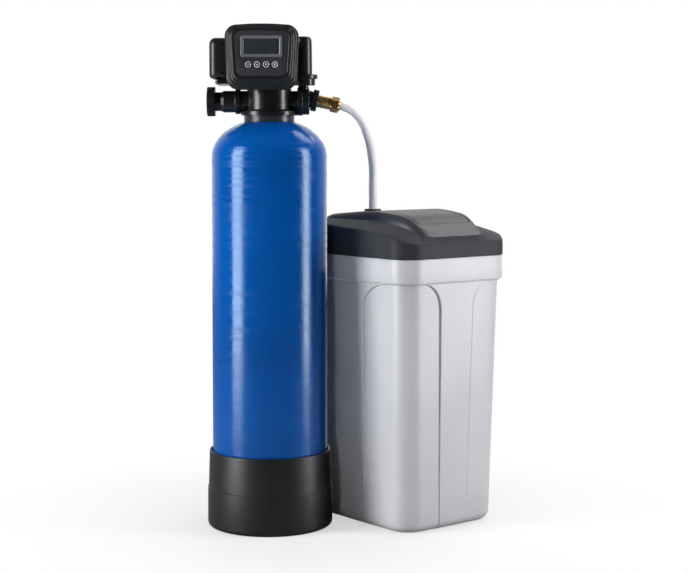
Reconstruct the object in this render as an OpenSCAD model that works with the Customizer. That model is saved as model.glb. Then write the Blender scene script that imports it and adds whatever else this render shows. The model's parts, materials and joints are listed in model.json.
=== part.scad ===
// Water softener: a wound pressure vessel with its control valve, and a square salt tank.
// Millimetres, +Z up. The origin is on the floor, on the pressure vessel's axis.
// The control panel faces -Y. The salt tank stands on the +X side, turned about Z.

/* [Pressure vessel] */
// Outer radius of the wound vessel
vessel_r = 128.5; // [100:0.5:180]
// Length of the vessel's straight side
vessel_side = 731; // [400:1:1300]
// Height of each domed end
dome_h = 86; // [60:1:110]
// Wall of the vessel
vessel_wall = 5; // [3:0.5:8]
// Radius of the vessel's neck, where the dome is cut
neck_r = 56; // [50:0.5:70]
// Height of the resin over the vessel's floor
resin_h = 545; // [200:5:700]

/* [Base] */
// Height of the moulded base
boot_h = 172; // [120:1:260]
// Gap between the vessel and the base's rim
boot_gap = 3; // [1:0.5:8]
// Wall of the base at its rim
boot_wall = 4.5; // [3:0.5:10]
// How much wider the base is at the floor than at its rim
boot_flare = 4.5; // [0:0.5:20]
// Thickness of the base under the vessel
boot_floor = 12; // [6:1:30]
// Radius of the base's bottom edge
boot_edge = 10; // [2:1:20]
// Height of the step line round the base
boot_step_z = 90; // [40:1:110]
// Depth of that step
boot_step = 1; // [0.5:0.1:2]

/* [Valve] */
// Radius of the valve's round body
valve_r = 50; // [46:0.5:60]
// Height of the valve body over its seat
valve_h = 60; // [56:1:80]
// Radius of the valve's foot ring
valve_foot_r = 62.7; // [60:0.1:75]
// Height of the foot ring
valve_foot_h = 10.5; // [8:0.5:16]
// How far the side ports reach past the foot ring
port_out = 0.3; // [0.2:0.1:10]
// Height of the neck insert's flange
insert_h = 13.5; // [8:0.5:20]
// Radius of the neck insert's bore
insert_bore_r = 37; // [34:0.5:40]
// Depth of the valve's threaded spigot in the neck
spigot_depth = 30; // [15:1:45]
// Height of the port axes over the valve's seat
port_rise = 31; // [29:0.5:34]
// Outer radius of the riser tube
riser_r = 13.4; // [10:0.1:15]

/* [Outlet] */
// Radius of the side port's stub
stub_r = 24; // [22:0.5:27]
// Length of the adapter's flange and barrel
outlet_barrel = 37; // [33:1:50]
// Length of the adapter's slim neck
outlet_neck = 20; // [18:1:40]
// Radius of the slim neck
outlet_neck_r = 20.9; // [19:0.1:22]
// Bore of the adapter
outlet_bore_r = 17; // [14:0.5:17]
// Radius of the union nut
union_r = 32.7; // [30:0.1:40]
// Width of the union nut
union_w = 18; // [16:0.5:30]
// Radius of the union nut's pipe socket
union_socket_r = 26; // [25:0.1:28]

/* [Brine fitting] */
// Radius of the brine port's flange
brine_flange_r = 31; // [28:0.5:34]
// Distance from the flange to the fitting's pivot point
brine_port_l = 32; // [31:0.5:45]
// How far the fitting's pivot lies over the port axis
fitting_rise = 4; // [0:0.5:5]
// How far the fitting droops, in degrees
fitting_tilt = 12; // [0:1:20]
// Radius of the lock collar
collar_r = 24; // [22:0.5:30]
// Radius of the brass barrel
barrel_r = 13.7; // [12.5:0.1:15]
// Width across the flats of the brass nut
nut_af = 30; // [29:0.5:36]
// Outer diameter of the brine hose
hose_d = 18; // [12:0.5:19]

/* [Actuator] */
// Distance from the vessel axis to the actuator's axis
actuator_x = 76; // [74:0.5:90]
// Radius of the actuator's can
can_r = 20; // [14:0.5:22]
// Height of the can
can_h = 84; // [50:1:110]
// Radius of the flange under the can
can_flange_r = 32; // [26:0.5:33]

/* [Control head] */
// Left end of the rear housing
housing_left = 129; // [120:1:170]
// Right end of the rear housing
housing_right = 40; // [38:0.5:42]
// Depth of the rear housing behind the front cover
housing_depth = 138; // [130:1:180]
// Height of the rear housing
housing_h = 93; // [85:1:105]
// Wall of the housing and the cover
housing_wall = 3; // [2:0.5:4]
// Distance from the vessel axis forward to the back of the front cover
cover_back = 72; // [68:1:90]
// Depth of the front cover
cover_depth = 19; // [18:0.5:30]
// Width of the front cover
cover_w = 166; // [160:1:200]
// Height of the front cover
cover_h = 144; // [138:1:170]
// Offset of the cover's middle from the vessel axis
cover_shift = 13; // [10:0.5:20]
// How far the cover's bottom lies under the housing's floor plate
cover_drop = 13; // [8:0.5:18]
// How much each side of the cover narrows downwards
cover_taper = 6; // [0:0.5:12]
// Corner radius of the cover
cover_corner = 26; // [12:1:32]
// Width of the display window
screen_w = 77; // [60:1:90]
// Height of the display window
screen_h = 33; // [25:1:40]
// Width of the frame round the display window
bezel_w = 7; // [4:0.5:9]
// Radius of a button
button_r = 7; // [5:0.1:8]
// Distance between two buttons
button_pitch = 19.4; // [18.5:0.1:22]
// Travel of a button
button_travel = 0.8; // [0.4:0.1:1.2]

/* [Drive] */
// Tooth module of the drive gears
gear_module = 1.5; // [1.2:0.1:1.6]
// Teeth of the large drive gear
gear_teeth = 40; // [30:2:40]
// Teeth of the motor pinion
pinion_teeth = 16; // [12:2:20]
// Width of the gears
gear_w = 8; // [5:0.5:10]
// Radius of the drive shaft
shaft_r = 6; // [4:0.5:8]
// Radius of the valve discs
disc_r = 38; // [32:0.5:38]
// Thickness of each valve disc
disc_t = 6; // [4:0.5:6]
// Radius of the gear motor
motor_r = 21; // [14:0.5:24]

/* [Salt tank] */
// Half width of the tank at the floor
salt_foot = 140; // [120:1:170]
// How much deeper than wide the tank is
salt_deep = 78; // [60:1:160]
// How far the band stands out from the tank's side
band_out = 5; // [2:0.5:10]
// Height of the band's lower edge
band_z = 553; // [350:1:800]
// Height of the band
band_h = 54; // [30:1:80]
// Corner radius of the tank
salt_corner = 50; // [30:1:56]
// Wall of the tank
salt_wall = 5; // [3:0.5:8]
// Radius of the tank's bottom edge
salt_edge = 20; // [8:1:30]
// Depth of the sunk corner pillars at their tops
pillar_depth = 4; // [1:0.5:6]
// Depth of the sunk corner pillars at the floor
pillar_foot = 1.2; // [0.2:0.1:2]
// Half width of the raised panel between two pillars, at its top
panel_half = 47; // [30:1:60]
// Half width of that panel at the floor
panel_foot = 39; // [30:1:60]
// Height of the pillars' arched tops
arch_h = 58; // [30:1:90]
// Width of the pillars' arched tops
arch_w = 46; // [20:1:46]
// Width of those tops on the two deep sides
side_arch_w = 78; // [20:1:80]
// Turn of the tank about Z, in degrees
salt_turn = 38.5; // [30:0.5:50]
// Gap between the vessel and the lid's near side
stand_gap = 3; // [2:0.1:40]
// Place of the vessel's axis along that side, in the tank's own axes
stand_back = 149.5; // [100:0.1:200]

/* [Lid] */
// Half width of the lid
lid_half = 161; // [159:1:201]
// How far the lid reaches past the tank's band
lid_overhang = 1; // [0.5:0.1:3]
// Wall of the lid
lid_wall = 4.5; // [3:0.5:6]
// Height of the lid's skirt at its front
skirt_h = 32; // [20:1:50]
// Width of the hatch
hatch_w = 156; // [100:1:170]
// Place of the hatch's front edge
hatch_front = 110; // [80:1:118]
// Place of the hatch's hinge axis
hinge_v = 20; // [0:1:24]
// Thickness of the hatch
hatch_t = 4; // [3:0.5:4]
// Gap round the hatch
hatch_gap = 1.5; // [1:0.1:3]
// Radius of the hinge pin
pin_r = 2; // [1.5:0.1:2.5]
// Radius of the hose grommet
grommet_r = 19; // [16:0.5:24]

/* [Brine valve] */
// Outer radius of the brine well
well_r = 55; // [50:1:58]
// Wall of the brine well
well_wall = 3; // [2:0.5:4]
// Height of the brine well's top over the floor
well_top = 560; // [300:1:560]
// Height of the salt platform over the floor
platform_z = 100; // [50:1:150]
// Radius of the float
float_r = 17; // [12:0.5:18]
// Length of the float
float_h = 70; // [40:1:100]
// Travel of the float and its rod
float_travel = 15; // [10:0.5:15]
// Height of the overflow over the floor
overflow_z = 470; // [300:1:480]

/* [Clearances] */
// Gap between pieces that only seat on each other
seat_gap = 0.3; // [0.1:0.05:0.5]
// Radial gap of a running shaft
run_gap = 0.05; // [0.02:0.01:0.1]
// Radial gap of a sliding or turning cover, nut or button
slide_gap = 0.4; // [0.3:0.05:0.6]

/* [Hidden] */

$fn = 64;
eps = 0.01;
over = 1;

// Heights up the vessel and the valve
side_z0 = boot_floor + dome_h;
side_z1 = side_z0 + vessel_side;
neck_z = side_z1 + dome_h * sqrt(1 - pow(neck_r / vessel_r, 2));
seat_z = neck_z + seat_gap + insert_h;
port_z = seat_z + port_rise;
valve_top = seat_z + valve_h;
outlet_x = valve_foot_r + port_out;
brine_port_x = valve_foot_r + port_out;
insert_step = 0.2;
insert_r = neck_r - insert_step;
spigot_r = insert_bore_r - seat_gap;
neck_wall = 4;
neck_hole_r = neck_r - neck_wall;
neck_in_z = side_z1 + (dome_h - vessel_wall) * sqrt(1 - pow(neck_hole_r / (vessel_r - vessel_wall), 2));
insert_sleeve = 24;

// Base outline
boot_rim_r = vessel_r + boot_gap + boot_wall;
boot_foot_r = boot_rim_r + boot_flare;
boot_step_run = 2;

// Riser and the two strainers
riser_wall = 2;
riser_room = 12;
basket_r = 24;
basket_wall = 3;
basket_floor = 4;
basket_foot_r = 6;
basket_foot_h = 6;
basket_h = 57;
basket_socket = 12;
basket_z = boot_floor + vessel_wall + basket_foot_h;
riser_z0 = basket_z + basket_h;
strainer_r = 30;
strainer_wall = 3;
strainer_h = 36;
strainer_floor = 4;
strainer_slot_h = 16;
strainer_slot_z = 10;
slot_w = 2;
slot_count = 12;
resin_gap = 0.5;

// Valve passages and the disc chamber
annulus_out_r = 30;
annulus_in_r = 18;
annulus_roof = 1;
drain_x = 40;
drain_stub_r = 10;
drain_bore_r = 5;
chamber_room = 3;
riser_bore = riser_r + seat_gap;
bore_step = 1;
side_bore_r = outlet_bore_r - bore_step;
small_bore_r = 9;
chamber_depth = 2 * disc_t + 4 * seat_gap + chamber_room;
chamber_r = disc_r + slide_gap;
chamber_z = valve_top - chamber_depth;
seal_r = 1.9;
seal_slack = 0.05;
seal_room = 0.2;
port_count = 4;
waste_slot = 4;
wide_port = 1;
seal_ring_r = (insert_bore_r + insert_r) / 2;
flow_hole_r = 5;
flow_ring_r = 24;

// Outlet, along -X from the adapter's flange
outlet_flange_w = 12;
outlet_flange_out = 3.6;
outlet_flange_r = stub_r + outlet_flange_out;
outlet_taper = 7;
outlet_end = outlet_x + outlet_barrel + outlet_taper + outlet_neck;
union_lip = 3;
tail_t = 4;
socket_step = 1.2;
tail_r = union_socket_r - socket_step;
union_x0 = outlet_end - tail_t - union_lip - seat_gap;
union_ribs = 40;
union_rib_w = 2.4;
union_rib_h = 1;
union_edge = 2;
turbine_in = 17;
turbine_x = outlet_x + turbine_in;
turbine_w = 12;
turbine_hub_r = 4;
turbine_blades = 6;
blade_t = 1.5;
blade_gap = 1.5;
axle_r = 2;
axle_in = 0.5;
spider_t = 4;
spider_arm = 3;
spider_hub_r = 5;
spider_x = turbine_x + turbine_w + over;

// Pipe stubs at the back
thread_r = 16.6;
thread_l = 24;
thread_wall = 4;
thread_shoulder = 3;
thread_shoulder_l = 10;
drain_flange_w = 8;
drain_tail_r = 7;
drain_tail_l = 26;
drain_tail_bore = 4.5;

// Brine fitting, along its own drooping axis
pivot_x = brine_port_x + brine_port_l;
pivot_z = port_z + fitting_rise;
nose_r = 17;
nose_l = 9.5;
elbow_r = 19;
elbow_lap = 4;
port_plug = 3;
actuator_boss_r = 13;
collar_w = 13;
collar_room = 2.2;
collar_flutes = 16;
flute_r = 2;
flute_out = 0.6;
barrel_flange_t = 1.4;
barrel_end = 50;
barrel_step = 1.3;
barrel_tail_r = barrel_r - barrel_step;
barrel_bore_r = 6.5;
barrel_lip = 0.5;
groove_start = 20;
groove_pitch = 5;
groove_count = 4;
groove_depth = 0.7;
groove_len = 1.5;
nut_start = 43.5;
nut_end = 64.5;
nut_bore_r = barrel_tail_r + slide_gap;
hose_hole_r = hose_d / 2 + slide_gap + seat_gap;
nut_throat = 7.5;
ferrule_gap = 0.6;
brine_barrel_r = brine_flange_r - 2;
brine_flange_w = 12;

// Actuator heights
boss_rise = 0.5;
boss_top = port_z + brine_flange_r + boss_rise;
actuator_neck_h = 4.5;
actuator_neck_r = 11.5;
actuator_drum_in = 5.4;
can_round = 8;
actuator_drum_h = 14.5;
can_flange_h = 9.5;
drum_z = boss_top + actuator_neck_h;
can_flange_z = drum_z + actuator_drum_h;
can_z = can_flange_z + can_flange_h;

// Control head
chassis_boss_h = 8;
chassis_t = 8;
chassis_boss_in = 2;
chassis_corner = 6;
chassis_z = valve_top + chassis_boss_h;
floor_z = chassis_z + chassis_t;
housing_corner = 14;
housing_back = housing_depth - cover_back;
housing_mid = (housing_right - housing_left) / 2;
plate_mid = housing_mid + housing_corner / 2;
cover_z0 = chassis_z - cover_drop;
cover_z1 = cover_z0 + cover_h;
cover_front = cover_back + cover_depth;
// Steps of the cover's front: inset of each layer and the share of the depth it reaches
cover_steps = [[0, 0], [0, 0.42], [4, 0.63], [9, 0.84], [14, 1]];
panel_inset = 21;
panel_sink = 1.2;
panel_front = cover_front - panel_sink;
panel_t = 4.5;
panel_back = panel_front - panel_t;
cover_plate = 3;
cavity_inset = 11;
window_side = 12;
window_low = 8;
window_high = 11;
window_x0 = -(cover_w / 2 + cover_shift - window_side);
window_x1 = housing_right - window_side;
window_z0 = floor_z + window_low;
window_z1 = floor_z + housing_h - window_high;
screen_place = 0.65;
screen_z = cover_z0 + screen_place * cover_h;
button_drop = 15.5;
button_z = screen_z - screen_h / 2 - bezel_w - button_drop;
button_proud = 0.8;
button_count = 4;
bezel_out = 2.5;
bezel_lap = 2;
bezel_corner = 4;
window_sink = 1;
button_flange = 1.6;
button_flange_t = 1.6;
switch_h = 1.4;
switch_r = 3;
switch_room = 1.4;
board_gap = seat_gap + button_flange_t + button_travel + switch_room + switch_h;
board_t = 1.6;
board_inset = 2;
board_low = 14;
board_high = 4;
board_screw_in = 5;
display_side = 6;
display_high = 4;
board_front = panel_back - board_gap;
screw_boss_l = board_front - board_t - cover_back - seat_gap;
board_w = cover_w - 2 * (panel_inset + board_inset);
board_z0 = button_z - board_low;
board_z1 = screen_z + screen_h / 2 + bezel_w + board_high;
post_r = 3.5;
screw_r = 1.5;
screw_hole_r = screw_r + 0.1;
screw_head_r = 3;
screw_head_h = 2.4;
screw_in = 4.5;
screw_room = 0.5;
screw_boss = 2.5;
screw_inset = 5;
screw_high = 6;

// Drive train
gear_pitch_r = gear_module * gear_teeth / 2;
pinion_pitch_r = gear_module * pinion_teeth / 2;
gear_distance = gear_pitch_r + pinion_pitch_r;
backlash = 0.3;
pressure_angle = 20;
gear_lift = 4;
gear_z = floor_z + gear_lift;
shaft_collar = 3;
shaft_foot_r = shaft_r + shaft_collar + 4;
shaft_foot_h = 2;
shaft_foot_room = 2;
shaft_top = 4;
gear_hole_ring = 0.6;
gear_hole_share = 0.16;
gear_holes = 6;
pinion_shaft_r = 3;
motor_h = 36;
motor_ear_t = 3;
motor_ear_w = 14;
motor_ear_end = 7;
motor_ear_corner = 6;
motor_socket = 12;
motor_lift = 6;
motor_z = gear_z + gear_w + motor_lift;
post_offset = pinion_pitch_r + gear_module + post_r + 6;
chassis_screw_r = 2;
chassis_screw_hole_r = chassis_screw_r + seat_gap / 3;
chassis_screw_in = 13;
chassis_head_r = 3.8;
chassis_head_h = 3;
chassis_screw_ring = (chamber_r + valve_r) / 2;
chassis_screw_count = 4;

// Salt tank place: its lid's near side keeps the stand gap from the vessel
band_half = lid_half - lid_overhang;
salt_top = band_half - band_out;
lid_corner = salt_corner + lid_overhang;
stand_side = vessel_r + stand_gap + lid_half;
salt_x = stand_side * cos(salt_turn) + stand_back * sin(salt_turn);
salt_y = stand_side * sin(salt_turn) - stand_back * cos(salt_turn);
salt_mid = salt_deep / 2;
rim_z = band_z + band_h;
band_lip = 3;
rim_edge = 2;
rim_step = 1;
rim_in = band_half - salt_wall - rim_step;
rim_corner = salt_corner - band_half + rim_in;
salt_floor = 6;
inner_edge = 14;
inner_foot = 8;
band_slope = 6;
groove_w = 5;
arch_steps = 6;
corner_steps = 6;

// Lid heights over the tank's rim, by place from front (-) to back (+)
lid_z = rim_z + seat_gap;
skirt_line = [[-160, 0], [-110, 16], [-60, 24], [0, 29], [60, 32], [110, 35], [160, 36]];
ledge_line = [[-150, 15], [-110, 28], [-60, 40], [0, 46], [60, 47], [130, 47]];
crown_line = [[-150, 15], [-140, 22], [-125, 33], [-110, 42], [-100, 48], [-85, 55], [-65, 60],
    [-40, 63], [-20, 65], [20, 67], [60, 65], [118, 60], [172, 55]];
island_plan = [[-88, -150], [88, -150], [108, -90], [124, 172], [-124, 172], [-108, -90]];
island_slope = 16;
island_soft = 14;
lid_rays = 72;
lid_lip = 9;
lid_lip_t = 3;
lid_lip_z = 6;
lid_inner_z = 12;
lid_top = 200;
edge_soft = [[5, 1], [1.5, -2], [0.5, -6]];
crown_rings = [0.1, 0.3, 0.5, 0.62, 0.72, 0.81, 0.9];
slope_rings = [[0.6, 0.9], [0.3, 0.6], [0, 0]];

// Hatch hinge
hinge_drop = 5;
knuckle_r = hinge_drop - seat_gap;
hinge_z = crown_z(hinge_v) - hinge_drop;
hatch_back_gap = 1;
curb_w = 6;
curb_depth = 10;
curb_sink = 2;
rest_w = 6;
hatch_corner = 8;
pin_in = 4.5;
pin_room = 0.5;
pin_half = hatch_w / 2 + pin_in;

// Hose drop line in the salt tank's own axes
drop_u = -62.8;
drop_v = 63.9;
grommet_sink = 1;
grommet_seat = crown_z(drop_v + grommet_r) - grommet_sink;
grommet_h = 7.5;
grommet_lap = 3;
grommet_lip = 5;
grommet_sleeve_r = grommet_r - grommet_lip;
well_foot = salt_floor + seat_gap;
well_slot_w = 6;
well_slot_h = 40;
well_slot_z = 12;
well_slots = 6;
cap_t = 6;
cap_lip = 2;
cap_plug = 8;
cap_plug_t = 3;
nipple_h = 7;
valve_case_r = 15;
valve_case_h = 40;
case_z = well_top - valve_case_h;
case_head = 2;
nipple_top = well_top + cap_t + case_head + nipple_h;
case_flange = 3;
case_bore_r = 3;
guide_w = 12;
guide_t = 8;
pickup_r = 6;
pickup_wall = 1.5;
pickup_in = 10;
pickup_low = 6;
check_r = 18;
check_h = 70;
check_wall = 3;
check_floor = 4;
check_roof = 14;
check_slots = 8;
check_slot_w = 3;
check_slot_h = 34;
check_slot_z = 10;
rod_r = 2;
rod_top = 10;
stop_h = 4;
stop_out = 3;
rod_foot_out = 4;
rod_foot_h = 5;
rod_off = 26;
float_z = 330;
rod_low = 250;
platform_t = 6;
platform_gap = 6;
platform_corner = salt_corner - 2 * platform_gap;
leg_r = 9;
leg_place = 91;
sieve_r = 4;
sieve_pitch = 26;
sieve_rows = 4;
sieve_more = floor(salt_deep / sieve_pitch);
overflow_u = 30;
overflow_r = 9;
overflow_flange_r = 16;
overflow_nut_r = 17;
overflow_boss = 6;
overflow_pad = 4;
overflow_proud = 3;
overflow_face = pillar_depth + salt_wall + overflow_proud;
overflow_wall = 3;
overflow_down = 22;
overflow_nut_w = 9;
overflow_flange_t = 4;
overflow_swell = 1;
overflow_down_r = overflow_r + overflow_swell;
overflow_bend = -overflow_boss - overflow_flange_t - overflow_down_r - over;
overflow_clamp = 11;
overflow_tail_r = overflow_r - overflow_swell;
overflow_tail = 24;

// Brine hose route, from the brass nut over to the lid and down to the brine valve
hose_route = [[144.1, 0, 944.8], [159.6, 0, 941.5], [176, 2, 935.5], [191, 6, 925.5],
    [203, 13, 912], [211.5, 21, 897], [218, 30, 880], [223.5, 40, 863], [227, 50, 846],
    [230, 59, 828], [232, 66.5, 811], [233, 72, 793], [233, 75.5, 775], [233, 76, 750],
    [233, 76, 720], [233, 76, 690], [233, 76, 650], [233, 76, 610], [233, 76, 575]];
hose_sides = 12;

// Outline helpers

// Arc points of a fillet of radius r at corner c, between the neighbours p and n
function fillet(p, c, n, r, steps) = let(
    a = (p - c) / norm(p - c),
    b = (n - c) / norm(n - c),
    half = acos(a * b) / 2,
    mid = c + (a + b) / norm(a + b) * r / sin(half),
    start = c + a * r / tan(half) - mid,
    a0 = atan2(start[1], start[0]))
    [for (i = [0 : steps]) mid + r * [cos(a0 + i * (180 - 2 * half) / steps),
        sin(a0 + i * (180 - 2 * half) / steps)]];

// Outline of a counter-clockwise convex polygon with rounded corners
function rounded(points, r, steps = 8) = let(count = len(points))
    [for (i = [0 : count - 1]) each fillet(points[(i + count - 1) % count], points[i],
        points[(i + 1) % count], r, steps)];

// Half of an ellipse-ended vessel outline, offset inwards by d
function vessel_outline(d) = let(r = vessel_r - d, h = dome_h - d, stop = acos((neck_r - d) / r))
    concat([for (a = [-90 : 6 : 0]) [r * cos(a), side_z0 + h * sin(a)]],
        [for (i = [0 : 12]) [r * cos(stop * i / 12), side_z1 + h * sin(stop * i / 12)]]);

// Involute gear outline
function involute(r, base_r) = let(a = acos(min(1, base_r / r))) tan(a) * 180 / PI - a;
function gear_outline(teeth) = let(
    pitch_r = gear_module * teeth / 2,
    base_r = pitch_r * cos(pressure_angle),
    tip_r = pitch_r + gear_module,
    root_r = pitch_r - 1.25 * gear_module,
    low_r = max(base_r, root_r),
    half = 90 / teeth - backlash / (4 * pitch_r) * 180 / PI + involute(pitch_r, base_r),
    steps = 4)
    [for (t = [0 : teeth - 1]) let(mid = t * 360 / teeth) each concat(
        [polar(root_r, mid - half)],
        [for (i = [0 : steps]) let(r = low_r + (tip_r - low_r) * i / steps)
            polar(r, mid - half + involute(r, base_r))],
        [for (i = [steps : -1 : 0]) let(r = low_r + (tip_r - low_r) * i / steps)
            polar(r, mid + half - involute(r, base_r))],
        [polar(root_r, mid + half)])];
function polar(r, a) = [r * cos(a), r * sin(a)];

// Rectangle with round corners, in the middle of its own axes
module round_rect(w, h, r) {
    square([w - 2 * r, h], center = true);
    square([w, h - 2 * r], center = true);
    for (x = [-1, 1], y = [-1, 1])
        translate([x * (w / 2 - r), y * (h / 2 - r)]) circle(r);
}

// Ring of revolution about Z between two radii and two heights
module ring(r_out, r_in, z0, z1) {
    translate([0, 0, z0]) difference() {
        cylinder(r = r_out, h = z1 - z0);
        translate([0, 0, -over]) cylinder(r = r_in, h = z1 - z0 + 2 * over);
    }
}

// Rod along Z between two heights
module rod(r, z0, z1) {
    translate([0, 0, z0]) cylinder(r = r, h = z1 - z0);
}

// Axes that the side fittings are made along
module toward_left() {
    translate([0, 0, port_z]) rotate([0, -90, 0]) children();
}
module toward_right() {
    translate([0, 0, port_z]) rotate([0, 90, 0]) children();
}
module toward_back() {
    translate([0, 0, port_z]) rotate([-90, 0, 0]) children();
}
module along_fitting() {
    translate([pivot_x, 0, pivot_z]) rotate([0, 90 + fitting_tilt, 0]) children();
}
module front_view(y) {
    translate([0, y, 0]) rotate([90, 0, 0]) children();
}
module in_salt_tank() {
    translate([salt_x, salt_y, 0]) rotate([0, 0, salt_turn]) children();
}
module at_drop() {
    in_salt_tank() translate([drop_u, drop_v, 0]) children();
}

// Closed skin over a stack of rings with the same number of points, capped at both ends
module skin(rings) {
    count = len(rings[0]);
    last = len(rings) - 1;
    sides = [for (k = [0 : last - 1], i = [0 : count - 1]) let(j = (i + 1) % count) each [
        [k * count + i, k * count + j, (k + 1) * count + j],
        [k * count + i, (k + 1) * count + j, (k + 1) * count + i]]];
    middle = [for (k = [0, last]) mean(rings[k])];
    ends = [for (i = [0 : count - 1]) let(j = (i + 1) % count) each [
        [j, i, (last + 1) * count],
        [last * count + i, last * count + j, (last + 1) * count + 1]]];
    polyhedron(points = concat([for (r = rings) each r], middle), faces = flip(concat(sides, ends)));
}
function mean(points) = [for (axis = [0 : 2]) sum([for (p = points) p[axis]]) / len(points)];
function sum(list) = list * [for (i = list) 1];
function flip(faces) = [for (f = faces) [f[0], f[2], f[1]]];

// Pressure vessel

module tank_base() {
    step_r = boot_rim_r + boot_flare * (1 - boot_step_z / boot_h);
    edge_r = boot_foot_r - boot_edge;
    cup = [for (p = vessel_outline(-seat_gap)) if (p[1] < side_z0) p];
    color("#222427") rotate_extrude($fn = 96) difference() {
        union() {
            polygon([[0, 0], [edge_r, 0], [edge_r, boot_edge], [boot_foot_r, boot_edge],
                [step_r + boot_step, boot_step_z], [step_r, boot_step_z + boot_step_run],
                [boot_rim_r, boot_h], [0, boot_h]]);
            intersection() {
                translate([edge_r, boot_edge]) circle(boot_edge);
                square([boot_foot_r, boot_edge]);
            }
        }
        polygon(concat(cup, [[vessel_r + boot_gap, side_z0], [vessel_r + boot_gap, boot_h + over],
            [0, boot_h + over]]));
    }
}

module tank_shell() {
    inner = vessel_outline(vessel_wall);
    color("#0050a5") rotate_extrude($fn = 96) difference() {
        polygon(concat(vessel_outline(0), [[0, neck_z]]));
        polygon(concat([for (p = inner) if (p[0] > neck_hole_r + eps || p[1] < side_z1) p],
            [[neck_hole_r, neck_in_z], [neck_hole_r, neck_z + over], [0, neck_z + over]]));
    }
}

module neck_insert() {
    color("#5b5f66") {
        ring(insert_r, insert_bore_r, neck_z + seat_gap, seat_z);
        ring(neck_hole_r - seat_gap, insert_bore_r, neck_z - insert_sleeve, seat_z - eps);
    }
}

module riser_tube() {
    color("#d8d4c4") ring(riser_r, riser_r - riser_wall, riser_z0, port_z - riser_room);
}

module bottom_distributor() {
    color("#c9b98f") difference() {
        union() {
            rod(basket_r, basket_z, riser_z0 + basket_socket);
            rod(basket_foot_r, boot_floor + vessel_wall + seat_gap, basket_z + eps);
        }
        rod(riser_bore, riser_z0 - eps, riser_z0 + basket_socket + over);
        rod(basket_r - basket_wall, basket_z + basket_floor, riser_z0 - basket_floor);
        rod(riser_r - riser_wall, riser_z0 - basket_floor - over, riser_z0);
        strainer_slots(basket_r + over, basket_z + 2 * basket_floor, riser_z0 - 2 * basket_floor);
    }
}

// Slots round a strainer, out to a radius and between two heights
module strainer_slots(reach, z0, z1) {
    for (i = [0 : slot_count - 1]) rotate(i * 360 / slot_count)
        translate([0, -slot_w / 2, z0]) cube([reach, slot_w, z1 - z0]);
}

module top_distributor() {
    top = seat_z - spigot_depth;
    low = top - strainer_h;
    slot_z = top - strainer_slot_z;
    color("#c9b98f") difference() {
        union() {
            ring(strainer_r, riser_bore, low, low + strainer_floor);
            ring(strainer_r, strainer_r - strainer_wall, low + strainer_floor - eps, top - seat_gap);
        }
        strainer_slots(strainer_r + over, slot_z - strainer_slot_h, slot_z);
    }
}

module resin_bed() {
    top = boot_floor + vessel_wall + resin_h;
    bed_r = vessel_r - vessel_wall - resin_gap;
    bowl = [for (p = vessel_outline(vessel_wall + resin_gap)) if (p[1] < side_z0) p];
    color("#a8742c") rotate_extrude($fn = 96) difference() {
        polygon(concat(bowl, [[bed_r, side_z0], [bed_r, top], [0, top]]));
        square([basket_r + resin_gap, riser_z0 + basket_socket + resin_gap]);
        square([riser_r + resin_gap, top + over]);
    }
}

// Valve

module valve_body() {
    spigot_z = seat_z - spigot_depth;
    groove = seal_r + seal_room;
    color("#1c1e21") difference() {
        union() {
            rod(valve_foot_r, seat_z, seat_z + valve_foot_h);
            rod(valve_r, seat_z + valve_foot_h - eps, valve_top);
            rod(spigot_r, spigot_z, seat_z + eps);
            toward_left() rod(stub_r, valve_r / 2, outlet_x);
            toward_right() rod(stub_r, valve_r / 2, brine_port_x);
            toward_back() rod(stub_r, valve_r / 2, outlet_x);
            translate([drain_x, 0, 0]) toward_back() rod(drain_stub_r, 0, outlet_x);
        }
        ring(annulus_out_r, annulus_in_r, spigot_z - over, seat_z + valve_foot_h - annulus_roof);
        rod(riser_bore, spigot_z - over, port_z);
        toward_left() rod(side_bore_r, 0, outlet_x + over);
        toward_right() rod(small_bore_r, 0, brine_port_x + over);
        toward_back() rod(side_bore_r, 0, outlet_x + over);
        translate([drain_x, 0, 0]) toward_back() rod(drain_bore_r, 0, outlet_x + over);
        rod(chamber_r, chamber_z, valve_top + over);
        port_places() rod(flow_hole_r, port_z, chamber_z + eps);
        ring(seal_ring_r + groove, seal_ring_r - groove, seat_z - over, seat_z + 2 * (seal_r + seal_slack));
        chassis_screw_places()
            rod(chassis_screw_hole_r, valve_top - chassis_screw_in - over, valve_top + over);
    }
}

// Places of the flow ports round the valve's axis
module port_places() {
    for (i = [0 : port_count - 1]) rotate((i + 0.5) * 360 / port_count)
        translate([flow_ring_r, 0, 0]) children();
}

module neck_seal() {
    color("#15171a") translate([0, 0, seat_z + seal_r + seal_slack])
        rotate_extrude() translate([seal_ring_r, 0]) circle(seal_r - seal_slack);
}

module fixed_disc() {
    color("#e6e4dd") difference() {
        rod(disc_r, chamber_z + seat_gap, chamber_z + seat_gap + disc_t);
        port_places() rod(flow_hole_r, chamber_z, chamber_z + 2 * disc_t);
    }
}

module moving_disc() {
    low = chamber_z + 2 * seat_gap + disc_t;
    color("#f0eee8") difference() {
        rod(disc_r, low, low + disc_t);
        translate([flow_ring_r, 0, 0]) rod(flow_hole_r + wide_port, low - over, low + disc_t + over);
        rotate(180) translate([0, -flow_hole_r, low - over])
            cube([flow_ring_r + flow_hole_r, 2 * flow_hole_r, waste_slot]);
    }
}

module drive_shaft() {
    low = chamber_z + 3 * seat_gap + 2 * disc_t;
    color("#c9ccd0") {
        rod(shaft_foot_r, low, low + shaft_foot_h);
        rod(shaft_r, low + eps, gear_z + gear_w + shaft_top);
        rod(shaft_r + shaft_collar, gear_z - shaft_collar, gear_z - seat_gap / 3);
    }
}

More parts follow.
